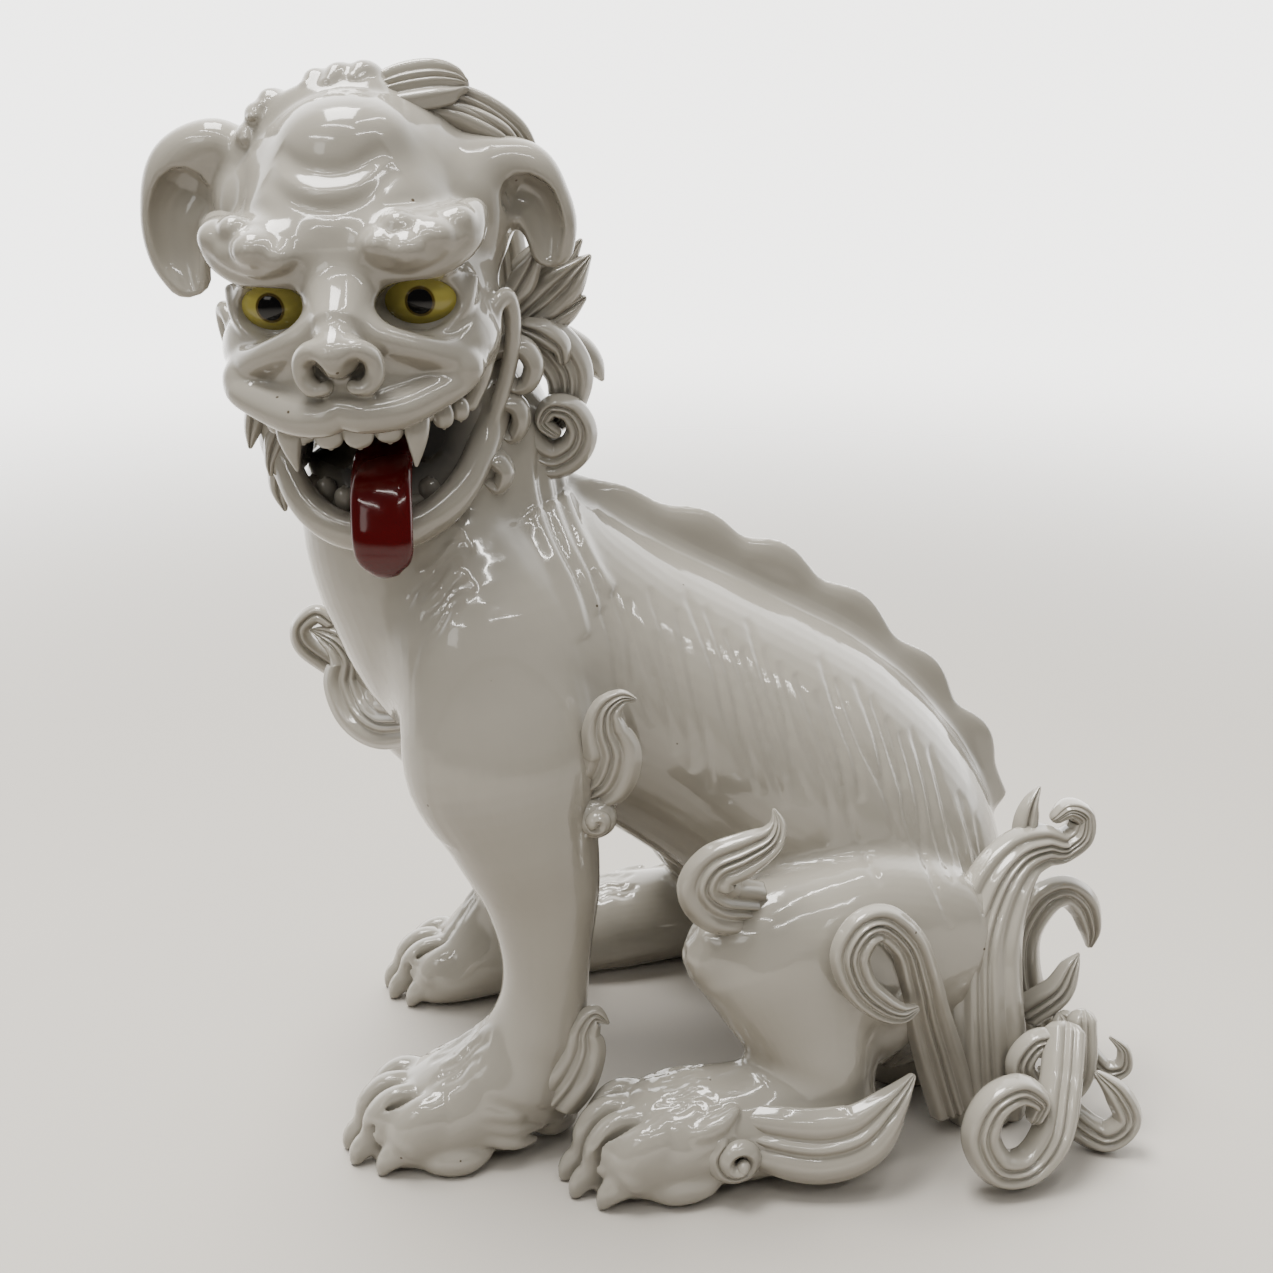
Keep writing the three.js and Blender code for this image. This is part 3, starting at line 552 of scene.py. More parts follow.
def make_head():
    """The head in one block of clay, in its own frame."""
    clay = Clay((-96, -78, -104), (96, 106, 98), HEAD_VOXEL)
    for centre, radii, fillet in SKULL:
        clay.ball(centre, radii, "head_shell", fillet=fillet)
    for handed in (1, -1):
        clay.ball((handed * 34, 40, -14), (22, 26, 17), "head_shell", fillet=8)
        clay.ball((handed * 48, 2, 34), (14, 24, 24), "head_shell", fillet=12)
        clay.ball((handed * 32, 62, 5), (19, 17, 13), fillet=8, cut=True)
    clay.loft([[1, 44, 40, 18, 8], [1, 54.5, 26, 16, 9], [1, 63, 13, 13, 10], [1, 78, 1, 10, 10]], "nose",
              fillet=10, normal=Y)
    clay.ball((3, 34, 65), (22, 15, 13), "head_shell", fillet=13)
    for side, handed, mirror in SIDES:
        clay.ball((handed * 29, 43, 5), (20.5, 17.5, 15.5), "head_shell", fillet=3)
        clay.loft(mirror([[13, 56, 3, 2, 3], [22, 60, -7, 2.4, 3], [34, 60, -8, 2.4, 3], [45, 52, 0, 2, 3],
                          [49, 44, 10, 2, 3]]), "head_shell", fillet=4, normal=Y)
        clay.loft(mirror(BROW), f"brow_{side}", fillet=7, normal=Y, sides=44)
        for centre, radius in BROW_LOBES[side]:
            clay.ball(centre, (radius, radius, radius * 0.85), f"brow_{side}", fillet=2.6)
    clay.ball((29.5, 62, 4.5), (17, 16, 9.6), "head_shell", fillet=2.4, cut=True)
    clay.ball((-31, 62, 4.5), (15.5, 16, 9.6), "head_shell", fillet=2.4, cut=True)
    for _, _, mirror in SIDES:
        clay.loft(mirror([[6, 72, 3, 4, 5], [17, 75.5, -4, 5, 5], [29, 72, -10, 5.5, 5],
                          [39, 65, -16, 6, 5.5], [46, 57, -21, 5, 5]]), "head_shell", fillet=5, normal=Y)
        clay.loft(mirror([[12, 88, -15, 3, 3], [20, 85, -18, 4.5, 5], [28, 80, -20, 4, 4.5],
                          [34, 76, -21, 2.5, 3]]), fillet=7, cut=True, normal=Y)
    clay.ball((1, 87, -7), (9, 10, 9), "nose", fillet=5)
    for handed in (1, -1):
        wing = [[handed * 4 + 1, 90, -5, 3.5, 4], [handed * 9 + 1, 89, -5, 4, 4.6],
                [handed * 13.5 + 1, 86, -9.5, 4, 5], [handed * 13.5 + 1, 85.5, -16.5, 3.9, 5],
                [handed * 9 + 1, 87, -21, 3.6, 4.6], [handed * 5 + 1, 88, -19.5, 2.6, 4]]
        clay.loft(wing, "nose", fillet=2.4, normal=Y)
        clay.ball((handed * 8 + 1, 97, -13), (4.6, 9, 5.2), fillet=2.4, cut=True)
        clay.ball((handed * 8 + 1, 91, -27.5), (5, 6, 4.5), fillet=4, cut=True)
    clay.loft(UPPER_LIP, "upper_lip", fillet=3.5, normal=Z, sides=44)
    for handed in (1, -1):
        clay.ball((handed * 45, 61, -21), (7, 7, 7), "upper_lip", fillet=2.5)
    clay.ball((0, 26, -88), (40, 38, 9), "lower_jaw", fillet=9)
    clay.ball((-38, 30, -50), (10, 20, 22), "lower_jaw", fillet=5)
    clay.loft(JAW_RIM, "lower_jaw", fillet=7, normal=Z, sides=44, steps=80)
    clay.loft([[4, 14, -56, 26, 9], [4, 36, -59, 31, 15], [3, 56, -62, 29, 17], [2, 76, -60, 27, 17],
               [0, 92, -58, 26, 16]], fillet=5, cut=True, normal=Z, sides=48)
    for side, handed, mirror in SIDES:
        clay.loft(mirror(SMILE_FOLD), f"smile_fold_{side}", fillet=2.5, normal=X, sides=32, steps=80)
    ear(clay, EAR_LEFT, "ear_left")
    ear(clay, EAR_RIGHT, "ear_right")
    clay.loft([[-40, 16, 58, 4, 5], [-28, 17, 72, 5, 6], [-9, 15, 79, 5, 6], [11, 12, 80, 5, 5]],
              "crown_roll", fillet=6, normal=Z)
    random = np.random.default_rng(8)
    for s, f, u in HAIRLINE:
        out = unit(np.array([s, 0, 70.0]))
        root = np.array([s, f - 5, u - 2])
        tip = root + out * random.uniform(2, 5) + np.array([random.uniform(-6, -1), random.uniform(7, 12), 0])
        middle = 0.5 * (root + tip) + out * 2
        clay.loft([[*(root - out * 6), 6, 7], [*root, 7, 7], [*middle, 5.5, 5.5], [*tip, 1.6, 2]],
                  "crown_roll", fillet=3, normal=Y)
    return clay


# Soft creases across the forehead, under the swelling in its middle.
FOREHEAD_CREASES = [
    [(-21, 63), (-14, 58), (-2, 55), (10, 56), (21, 62)],
    [(-27, 53), (-16, 46), (-1, 42.5), (13, 45), (25, 54)],
]


# ---------------------------------------------------------------- glazes
PINHOLE = (0.09, 0.07, 0.05)
# Painted shade for the dark inside of the open mouth.
THROAT_SHADE = (0.02, 0.017, 0.013)
# Each ring painted round an eye's axis: where it ends and where it is full, in metres, and its colour.
EYE_RINGS = ((0.0062, 0.0056, (0.09, 0.06, 0.008)), (0.0051, 0.0047, (0.0015, 0.001, 0.001)))


class Paint:
    """Adds shader nodes to a node tree."""

    def __init__(self, tree):
        self.nodes, self.links = tree.nodes, tree.links

    def add(self, kind, **settings):
        node = self.nodes.new(kind)
        for key, value in settings.items():
            if hasattr(node, key):
                setattr(node, key, value)
            else:
                node.inputs[key].default_value = value
        return node

    def mix(self, factor, a, b):
        node = self.add("ShaderNodeMix", data_type="RGBA")
        self.links.new(factor, node.inputs[0])
        for value, socket in ((a, node.inputs[6]), (b, node.inputs[7])):
            if isinstance(value, tuple):
                socket.default_value = (*value, 1)
            else:
                self.links.new(value, socket)
        return node.outputs[2]

    def ramp(self, source, low, high, kind="SMOOTHSTEP", bottom=0.0, top=1.0):
        node = self.add("ShaderNodeMapRange", interpolation_type=kind)
        for socket, value in (("From Min", low), ("From Max", high), ("To Min", bottom), ("To Max", top)):
            node.inputs[socket].default_value = value
        self.links.new(source, node.inputs["Value"])
        return node.outputs["Result"]

    def vector(self, operation, source, other=None):
        node = self.add("ShaderNodeVectorMath", operation=operation)
        self.links.new(source, node.inputs[0])
        if other is not None:
            node.inputs[1].default_value = other
        return node

    def noise(self, place, scale, detail):
        node = self.add("ShaderNodeTexNoise", Scale=scale, Detail=detail)
        self.links.new(place, node.inputs["Vector"])
        return node.outputs["Fac"]


def new_material(name):
    """A material, its paint and its Principled shader."""
    material = bpy.data.materials.new(name)
    material.use_nodes = True
    paint = Paint(material.node_tree)
    return material, paint, paint.nodes["Principled BSDF"]


def glaze(name, colour, painted_shade, thin, roughness, coat, ior, pinholes=False, throat=None):
    """A thick glossy glaze.

    It is pale where it lies thick and warmer where it runs thin on an edge. Painted shade darkens it in a
    recess and on the undersides. Around the point throat, the back of the mouth, it is painted dark as
    painted shade.
    """
    material, paint, shader = new_material(name)
    place = paint.add("ShaderNodeTexCoord").outputs["Object"]
    edges = paint.add("ShaderNodeNewGeometry").outputs["Pointiness"]
    flow = paint.noise(place, 55.0, 2.0)
    pale = tuple(channel * 0.93 for channel in colour)
    base = paint.mix(paint.ramp(paint.noise(place, 14.0, 3.0), 0.35, 0.7), colour, pale)
    # Painted shade: darker in a recess, where the surface is concave.
    base = paint.mix(paint.ramp(edges, 0.465, 0.3), base, painted_shade)
    base = paint.mix(paint.ramp(edges, 0.56, 0.68), base, thin)
    # Painted shade: the glaze is darker and browner on the surfaces that face down.
    facing = paint.add("ShaderNodeSeparateXYZ")
    paint.links.new(paint.add("ShaderNodeTexCoord").outputs["Normal"], facing.inputs[0])
    underside_shade = tuple(0.42 * channel + 0.58 * brown for channel, brown in zip(colour, painted_shade))
    base = paint.mix(paint.ramp(facing.outputs["Z"], 0.35, -0.75), base, underside_shade)
    if pinholes:
        cells = paint.add("ShaderNodeTexVoronoi", Scale=42.0)
        paint.links.new(place, cells.inputs["Vector"])
        base = paint.mix(paint.ramp(cells.outputs["Distance"], 0.035, 0.022), base, PINHOLE)
    # Painted shade: the back of the mouth is painted dark, for the shadow inside the hollow head.
    if throat is not None:
        reach = paint.vector("LENGTH", paint.vector("SUBTRACT", place, throat).outputs[0])
        base = paint.mix(paint.ramp(reach.outputs["Value"], 0.046, 0.030), base, THROAT_SHADE)
    paint.links.new(base, shader.inputs["Base Color"])
    uneven = paint.ramp(flow, 0.0, 1.0, "LINEAR", roughness, roughness + 0.07)
    paint.links.new(uneven, shader.inputs["Roughness"])
    shader.inputs["IOR"].default_value = ior
    shader.inputs["Coat Weight"].default_value = coat
    shader.inputs["Coat Roughness"].default_value = 0.03
    ripple = paint.add("ShaderNodeBump", Strength=0.22, Distance=0.0016)
    paint.links.new(flow, ripple.inputs["Height"])
    paint.links.new(ripple.outputs["Normal"], shader.inputs["Normal"])
    paint.links.new(ripple.outputs["Normal"], shader.inputs["Coat Normal"])
    return material


WHITE = glaze("white_glaze", (0.37, 0.35, 0.305), (0.12, 0.098, 0.064), (0.37, 0.325, 0.25), 0.08, 0.6, 1.52,
              pinholes=True, throat=tuple(to_metres(from_head((3, 20, -54)))))
RED = glaze("red_glaze", (0.075, 0.001, 0.0015), (0.03, 0.0005, 0.0008), (0.11, 0.004, 0.004), 0.09, 0.15,
            1.4)


def eye_glaze(name, centre, forward):
    """Yellow glaze with an ochre ring and a black pupil, painted around the axis of the eye."""
    material = glaze(name, (0.44, 0.39, 0.09), (0.2, 0.16, 0.02), (0.5, 0.45, 0.16), 0.06, 0.1, 1.4)
    paint = Paint(material.node_tree)
    base = paint.nodes["Principled BSDF"].inputs["Base Color"]
    colour = base.links[0].from_socket
    offset = paint.vector("SUBTRACT", paint.add("ShaderNodeTexCoord").outputs["Object"], centre)
    reach = paint.vector("LENGTH", paint.vector("CROSS_PRODUCT", offset.outputs[0], forward).outputs[0])
    for outer, inner, tint in EYE_RINGS:
        colour = paint.mix(paint.ramp(reach.outputs["Value"], outer, inner, "LINEAR"), colour, tint)
    paint.links.new(colour, base)
    return material


# ---------------------------------------------------------------- pieces
def add_piece(name, points, faces, material, normals=None):
    """A smooth piece in place of the node of its name.

    Its points are in the modelling frame, and no point goes below the ground. faces are arrays of faces, of
    three or four corners each.
    """
    mesh = bpy.data.meshes.new(name)
    points[:, 2] = np.maximum(points[:, 2], 0)
    corners = np.concatenate([face.reshape(-1) for face in faces]).astype(np.int32)
    sizes = np.concatenate([np.full(len(face), face.shape[1]) for face in faces]).astype(np.int32)
    mesh.vertices.add(len(points))
    mesh.vertices.foreach_set("co", to_metres(points).astype(np.float32).ravel())
    mesh.loops.add(len(corners))
    mesh.loops.foreach_set("vertex_index", corners)
    mesh.polygons.add(len(sizes))
    loop_starts = np.concatenate([[0], np.cumsum(sizes)[:-1]]).astype(np.int32)
    mesh.polygons.foreach_set("loop_start", loop_starts)
    mesh.update(calc_edges=True)
    mesh.polygons.foreach_set("use_smooth", np.ones(len(sizes), dtype=bool))
    if normals is not None:
        mesh.normals_split_custom_set_from_vertices(normals.astype(np.float32))
    mesh.materials.append(material)
    piece = bpy.data.objects.new(name, mesh)
    bpy.context.scene.collection.objects.link(piece)
    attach(piece, "root")
    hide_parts(name)


def rim_loops(starts, ends):
    """Numbers the closed loops that a rim's edges form, and counts them."""
    follow = {}
    for a, b in zip(starts.tolist(), ends.tolist()):
        follow.setdefault(a, []).append(b)
    loop_of = {}
    number = 0
    for start in follow:
        if start in loop_of:
            continue
        stack = [start]
        while stack:
            at = stack.pop()
            if at not in loop_of:
                loop_of[at] = number
                stack.extend(follow.get(at, []))
        number += 1
    return loop_of, number


def add_casting(name, points, normals, quads, core=None):
    """One casting of the clay.

    Where it meets its neighbour its rim turns in and is closed inside the clay, in the middle of the rim or
    at the point core.
    """
    used, quads = np.unique(quads, return_inverse=True)
    quads = quads.reshape(-1, 4)
    points, normals = points[used], normals[used]
    starts = quads.ravel()
    ends = np.roll(quads, -1, axis=1).ravel()
    count = len(points)
    open_edge = ~np.isin(starts * count + ends, ends * count + starts)
    a, b = starts[open_edge], ends[open_edge]
    if len(a) == 0:
        add_piece(name, points, [quads], WHITE, normals)
        return
    rim = np.unique(np.concatenate([a, b]))
    inner = np.zeros(count, dtype=np.int64)
    inner[rim] = count + np.arange(len(rim))
    loop_of, loops = rim_loops(a, b)
    loop = np.array([loop_of[vertex] for vertex in rim.tolist()])
    turned_in = points[rim] - normals[rim] * WALL
    if core is None:
        centres = np.array([turned_in[loop == index].mean(axis=0) for index in range(loops)])
    else:
        centres = np.tile(core, (loops, 1))
    centre_of = count + len(rim) + np.array([loop_of[vertex] for vertex in a.tolist()])
    skirt = np.stack([b, a, inner[a], inner[b]], axis=1)
    cap = np.stack([inner[b], inner[a], centre_of], axis=1)
    points = np.concatenate([points, turned_in, centres])
    normals = np.concatenate([normals, -normals[rim], np.tile(-Z, (loops, 1))])
    add_piece(name, points, [quads, skirt, cap], WHITE, normals)


def add_castings(clay, place, buried, lines, cores):
    """Every casting of the clay, carved with the sets of lines, without the faces that buried() picks out."""
    points, quads, label = clay.surface()
    normals = vertex_normals(points, quads)
    for line_set in lines:
        points = carve(points, normals, **line_set)
    if place is not None:
        points = place(points)
        points, quads, _ = outward(points, quads, NO_TRIANGLES)
    normals = vertex_normals(points, quads)
    shown = ~buried(points[quads].mean(axis=1))
    for index, name in enumerate(clay.names):
        chosen = shown & (label == index)
        if np.any(chosen):
            add_casting(name, points, normals, quads[chosen], cores.get(name))


def add_loft(name, strands, material=WHITE):
    """A piece of one or more lofted strands. Each strand is (rows, section, options)."""
    points, faces, count = [], [], 0
    for rows, section, options in strands:
        options = dict(options)
        place = options.pop("place", None)
        ring_points = rings(rows, section, **options)
        if place is not None:
            ring_points = place(ring_points)
        strand, quads, triangles = skin(ring_points)
        points.append(strand)
        faces += [quads + count, triangles + count]
        count += len(strand)
    add_piece(name, np.concatenate(points), faces, material)


# ---------------------------------------------------------------- locks, curls and flames
STRAPS = {
    "chest_flame": (4, [
        [-8, -116, 190, 12, 4.5], [-24, -129, 184, 14, 4.5], [-38, -138, 186, 14, 4.5],
        [-47, -143, 196, 13, 4.5], [-50, -142, 206, 11, 4.5], [-54, -147, 214, 8, 4],
        [-58, -154, 218, 5, 3], [-60, -160, 220, 1, 1],
    ]),
    "chest_curl": (2, [
        [-50, -132, 196, 5, 4], [-62, -144, 196, 6, 4], [-66, -155, 202, 6, 4], [-66, -164, 211, 6, 4],
        [-64, -165, 221, 5, 4], [-61, -157, 228, 5, 3], [-58, -150, 224, 4, 3],
    ]),
    "elbow_flame": (4, [
        [76, -44, 184, 9, 4.5], [83, -37, 193, 13, 4.5], [87, -34, 206, 13, 4.5], [88, -37, 218, 10, 4],
        [88, -36, 227, 7, 4], [88, -30, 232, 4, 3], [88, -24, 231, 1, 1],
    ]),
    "wrist_flame": (3, [
        [77, -60, 32, 13, 4.5], [80, -53, 44, 13, 4.5], [79, -47, 57, 11, 4], [78, -46, 67, 8, 4],
        [77, -41, 74, 5, 3], [78, -35, 70, 1, 1],
    ]),
    "knee_flame": (4, [
        [92, 28, 130, 13, 4.5], [100, 12, 138, 14, 4.5], [105, 4, 149, 13, 4.5], [106, 8, 159, 11, 4.5],
        [106, 20, 164, 10, 4], [104, 31, 169, 7, 4], [102, 35, 175, 4, 3], [100, 34, 181, 1, 1],
    ]),
    "foot_flame": (3, [
        [112, 14, 32, 12, 4.5], [121, 33, 29, 16, 4.5], [126, 53, 27, 18, 4.5], [127.8, 71, 32, 16, 4.5],
        [125, 85, 44, 9, 4], [120, 96, 54, 2, 2],
    ]),
    "hip_curl": (4, [
        [90, 130, 12, 12, 4.5], [95, 119, 44, 12, 4.5], [99, 110, 70, 11, 4.5], [104, 103, 93, 10, 4.5],
        [108, 95, 114, 9, 4.5], [112, 82, 128, 9, 4.5], [116, 71, 128, 9, 4.5], [118, 65, 117, 9, 4.5],
        [118, 70, 102, 8, 4.5], [116, 81, 90, 7, 4.5], [114, 91, 84, 5, 4], [112, 99, 84, 2, 2],
    ]),
    "tail_plume": (5, [
        [84, 150, 2, 19, 8], [88, 144, 36, 21, 8], [86, 141, 68, 20, 8], [80, 142, 96, 19, 8],
        [72, 151, 117, 17, 7], [65, 163, 129, 14, 7], [60, 176, 132, 11, 8], [57, 188, 130, 8, 9],
        [56, 197, 135, 7, 9], [55, 198, 144, 6, 8], [55, 191, 148, 5, 7], [55, 185, 144, 3, 5],
    ]),
    "tail_hook": (3, [
        [62, 190, 22, 11, 6], [58, 177, 48, 11, 6], [56, 173, 68, 10, 6], [54, 175, 84, 9, 5],
        [52, 184, 98, 9, 5], [50, 196, 101, 8, 5], [48, 207, 92, 8, 5], [46, 213, 78, 6, 5],
        [44, 215, 66, 2, 2],
    ]),
    "tail_scroll_1": (3, [
        [104, 176, 58, 10, 6], [120, 168, 42, 10, 7], [132, 160, 24, 10, 7], [137, 147, 13, 9, 7],
        [138, 132, 15, 9, 7], [136, 124, 30, 9, 7], [134, 129, 45, 8, 7], [132, 142, 50, 7, 6],
        [130, 153, 42, 5, 6], [131, 151, 34, 4, 5],
    ]),
    "tail_scroll_2": (3, [
        [92, 190, 56, 7, 6], [100, 187, 34, 8, 6], [103, 176, 24, 8, 6], [104, 162, 29, 8, 6],
        [104, 155, 43, 7, 6], [104, 161, 54, 6, 5], [104, 171, 54, 5, 5], [104, 173, 45, 4, 4],
    ]),
    "tail_scroll_3": (3, [
        [96, 170, 30, 7, 5], [108, 181, 14, 8, 5], [117, 194, 8, 8, 5], [120, 203, 18, 7, 5],
        [117, 198, 31, 6, 4], [112, 190, 39, 2, 2],
    ]),
    "tail_scroll_4": (3, [
        [84, 184, 52, 6, 4], [89, 193, 38, 6, 4], [94, 202, 28, 6, 4], [98, 210, 31, 5, 3],
        [97, 210, 40, 3, 3], [95, 204, 46, 1, 1],
    ]),
    "tail_tuft": (3, [[72, 172, 50, 9, 6], [76, 184, 62, 8, 5], [75, 190, 74, 5, 4], [74, 194, 80, 1, 1]]),
}
PLUME_TIP = [[58, 168, 134, 6, 5], [56, 170, 145, 6, 5], [55, 172, 153, 4, 4], [54, 176, 160, 1, 1]]
ON_BOTH_SIDES = ("wrist_flame", "knee_flame", "foot_flame", "hip_curl")
FACING_LEFT = unit(np.array([1, -0.15, 0.2]))
MANE = {
    "mane_leaf": [
        (3, [[58, -4, -20, 6, 5], [70, -8, -12, 10, 5], [80, -10, -4, 9, 5], [90, -13, 5, 1.5, 1.5]]),
        (2, [[60, -4, -26, 5, 4], [70, -7, -20, 8, 4], [79, -9, -16, 6, 4], [87, -11, -12, 1.5, 1.5]]),
        (2, [[56, 2, -10, 4, 4], [62, 0, -2, 6, 4], [67, -2, 6, 4, 4], [69, -3, 13, 1, 1]]),
    ],
    "mane_spike": [
        (2, [[60, -14, 0, 6, 5], [71, -13, 7, 7, 5], [79, -14, 14, 5, 4], [85, -15, 22, 1, 1]]),
        (2, [[62, -12, -6, 5, 4], [73, -12, -1, 6, 4], [81, -13, 5, 4, 3], [87, -14, 12, 1, 1]]),
    ],
    "mane_lock": [
        (4, [[60, -4, -24, 8, 6], [71, -5, -30, 11, 7], [78, -6, -42, 11, 7], [77, -6, -54, 9, 7],
             [71, -5, -63, 7, 6], [64, -3, -70, 3, 3]]),
        (1, [[76, -15, -30, 6, 6], [83, -18, -37, 6.5, 6.5], [88, -20, -44, 5, 5], [91, -22, -51, 1.5, 1.5]]),
        (2, [[62, 2, -20, 4, 4], [69, 2, -23, 6, 5], [76, 1, -29, 5, 5], [77, 1, -36, 3, 3]]),
    ],
    "mane_sweep": [
        (3, [[50, 6, -44, 5, 5], [53, 6, -58, 8, 6], [59, 6, -72, 9, 6], [69, 5, -79, 9, 6],
             [79, 4, -75, 8, 6], [83, 4, -66, 7, 6], [79, 4, -57, 6, 6], [71, 5, -55, 5, 6],
             [67, 6, -61, 4, 5], [72, 7, -66, 3, 4]]),
        (3, [[62, -2, -62, 5, 5], [66, -4, -74, 7, 6], [74, -6, -80, 6, 5], [82, -8, -77, 2, 2]]),
        (2, [[50, 6, -80, 7, 4], [52, 6, -98, 8, 4], [58, 6, -116, 6, 4], [62, 5, -134, 1.5, 2]]),
    ],
    "cheek_curl": [
        (1, [[46, 14, -28, 5, 6], [54, 15, -25, 5, 6], [62, 15, -26, 4.8, 6], [66, 15, -33, 4.6, 6],
             [63, 15, -41, 4.2, 6], [57, 16, -42, 3.6, 5], [55, 17, -36, 2.8, 4]]),
        (1, [[44, 18, -50, 4.6, 5], [51, 19, -47, 4.6, 6], [58, 19, -50, 4.4, 6], [59, 19, -57, 4.2, 6],
             [55, 19, -63, 3.8, 5], [50, 20, -61, 3, 4]]),
        (1, [[40, 26, -74, 4, 5], [47, 30, -69, 4.4, 6], [52, 31, -74, 4.4, 6], [49, 32, -81, 3.8, 5],
             [44, 32, -78, 2.8, 4]]),
    ],
}
CHEEK_SPIKES = [
    (2, [[-40, 36, -30, 5, 4], [-46, 41, -39, 5, 4], [-49, 44, -47, 4, 3], [-51, 46, -55, 1, 1]]),
    (2, [[-34, 44, -44, 4, 4], [-39, 47, -52, 5, 4], [-42, 49, -60, 3, 3], [-43, 50, -66, 1, 1]]),
]
CROWN_TUFT = [
    (4, [[8, 12, 76, 8, 4], [22, 8, 79, 12, 4.5], [34, 6, 80, 12, 4.5], [42, 4, 79, 9, 4],
         [46, 3, 78, 4, 3]]),
    (3, [[14, 4, 77, 6, 5], [34, 2, 73, 9, 6], [50, -1, 67, 9, 6], [63, -4, 57, 8, 5], [71, -6, 45, 3, 3]]),
    (2, [[28, 8, 70, 4, 4], [44, 5, 66, 6, 5], [58, 2, 58, 6, 5], [66, 0, 50, 2, 2]]),
]
BEARD = [[-40, 34, -62, 8, 5], [-44, 36, -76, 5, 4], [-43, 38, -86, 1, 1]]


def steps_for(rows):
    path = np.asarray(rows, dtype=np.float64)[:, :3]
    return int(DETAIL * 0.9 * np.sum(np.linalg.norm(np.diff(path, axis=0), axis=1))) + 16


def strand(rows, ribs, relief=1.7, normal=FACING_LEFT, place=None):
    return rows, ribbed_section(ribs, relief, 2 * int(DETAIL * (22 + 12 * ribs))), {
        "normal": normal, "steps": steps_for(rows), "place": place}


def spiral(centre, u, v, out, radius, turns, wide, rise, start=0.0, count=14):
    """Rows of a tube that winds inwards round a centre and rises out of the surface as it goes."""
    rows = []
    for t in np.linspace(0, 1, count):
        angle = start + 2 * np.pi * turns * t
        reach = radius * (1 - 0.78 * t)
        point = np.asarray(centre) + reach * (np.cos(angle) * u + np.sin(angle) * v) + out * rise * t
        rows.append([*point, wide * (1 - 0.3 * t), wide * (1 - 0.3 * t)])
    return rows


def add_straps():
    for name, (ribs, rows) in STRAPS.items():
        for side in ("left", "right") if name in ON_BOTH_SIDES else ("",):
            turned = mirrored(rows) if side == "right" else rows
            strands = [strand(turned, ribs)]
            if name == "tail_plume":
                strands.append(strand(PLUME_TIP, 2))
            if name == "foot_flame":
                out = X if side == "left" else -X
                knob = spiral((out[0] * 121, 15, 24), Y, Z, out, 11, 1.6, 4.6, 8, start=2.2)
                strands.append(strand(knob, 1, normal=out))
            add_loft(f"{name}_{side}" if side else name, strands)
    knob = spiral((78, -41, 176), unit(Y + 0.2 * X), Z, X, 8.5, 2.4, 4.4, 12, start=0.6, count=22)
    add_loft("elbow_knob", [strand(knob, 1, normal=X)])


def add_locks(name, locks, normal):
    add_loft(name, [strand(rows, ribs, normal=normal, place=from_head) for ribs, rows in locks])


def add_mane():
    """The locks round the head. Those on its right are laid back and narrower."""
    for name, locks in MANE.items():
        laid_back = [(ribs, [[-0.6 * s, f - 22, u, 0.6 * wide, deep] for s, f, u, wide, deep in rows[:6]])
                     for ribs, rows in locks]
        add_locks(f"{name}_left", locks, Y)
        add_locks(f"{name}_right", CHEEK_SPIKES if name == "cheek_curl" else laid_back, Y)
    add_locks("beard_spike", [(2, BEARD)], Y)
    add_locks("crown_tuft", CROWN_TUFT, unit(Y + Z))
    locks = []
    for lock, s in enumerate(range(-40, 41, 10)):
        bend = 2 if lock % 2 else -2
        locks.append((3, [
            [s * 0.55, -14, 80 - abs(s) * 0.1, 5, 4], [s, -44, 63 - abs(s) * 0.12, 8, 6],
            [s * 1.15 + bend, -62, 30, 9, 6], [s * 1.15 - bend, -63, -8, 9, 6],
            [s * 1.2 + bend, -54, -42, 7, 6], [s * 1.2, -50, -62, 2, 2]]))
    add_locks("back_hair", locks, -Y)


def ball_rings(centre, radii):
    """Rings of a ball, stacked along its forward axis."""
    angle = np.linspace(0.12, np.pi - 0.12, 28)[:, None]
    around = np.linspace(0, 2 * np.pi, 48, endpoint=False)
    points = np.zeros((len(angle), len(around), 3))
    points[..., 0] = np.sin(angle) * np.cos(around)
    points[..., 1] = np.cos(angle)
    points[..., 2] = np.sin(angle) * np.sin(around)
    return points * np.asarray(radii) + np.asarray(centre)


def plain_strand(rows, sides, normal, steps):
    """A smooth strand of oval section on the head."""
    return rows, ellipse_section(sides), {"normal": normal, "steps": steps, "place": from_head}


def tooth(s, f, u, wide, high):
    """A rounded tooth: s, f, u is the middle of its gum line. It points down where high is negative."""
    rows = []
    for angle in np.radians([-75, -50, -20, 10, 38, 62, 82]):
        thin = math.cos(angle) ** 0.8
        rows.append([s, f, u + high * (0.45 + 0.55 * math.sin(angle)), wide * thin, 4.2 * thin])
    return plain_strand(rows, 28, Y, 24)


def add_teeth(name, gum, teeth, front, arch):
    """A row of teeth on their gum.

    gum is its stations from side to side, its height and the height of the roots. teeth is the place, width
    and height of each. front is how far forward the gum and the teeth stand in the middle. arch is how far
    they have fallen back at what distance from the middle.
    """
    stations, gum_height, root_height = gum
    depth, reach = arch
    rows = [[s, front[0] - depth * (s / reach) ** 2, gum_height, 3, 3] for s in stations]
    strands = [plain_strand(rows, 20, Z, 30)]
    for s, wide, high in teeth:
        strands.append(tooth(s, front[1] - depth * (s / reach) ** 2, root_height, wide, high))
    add_loft(name, strands)


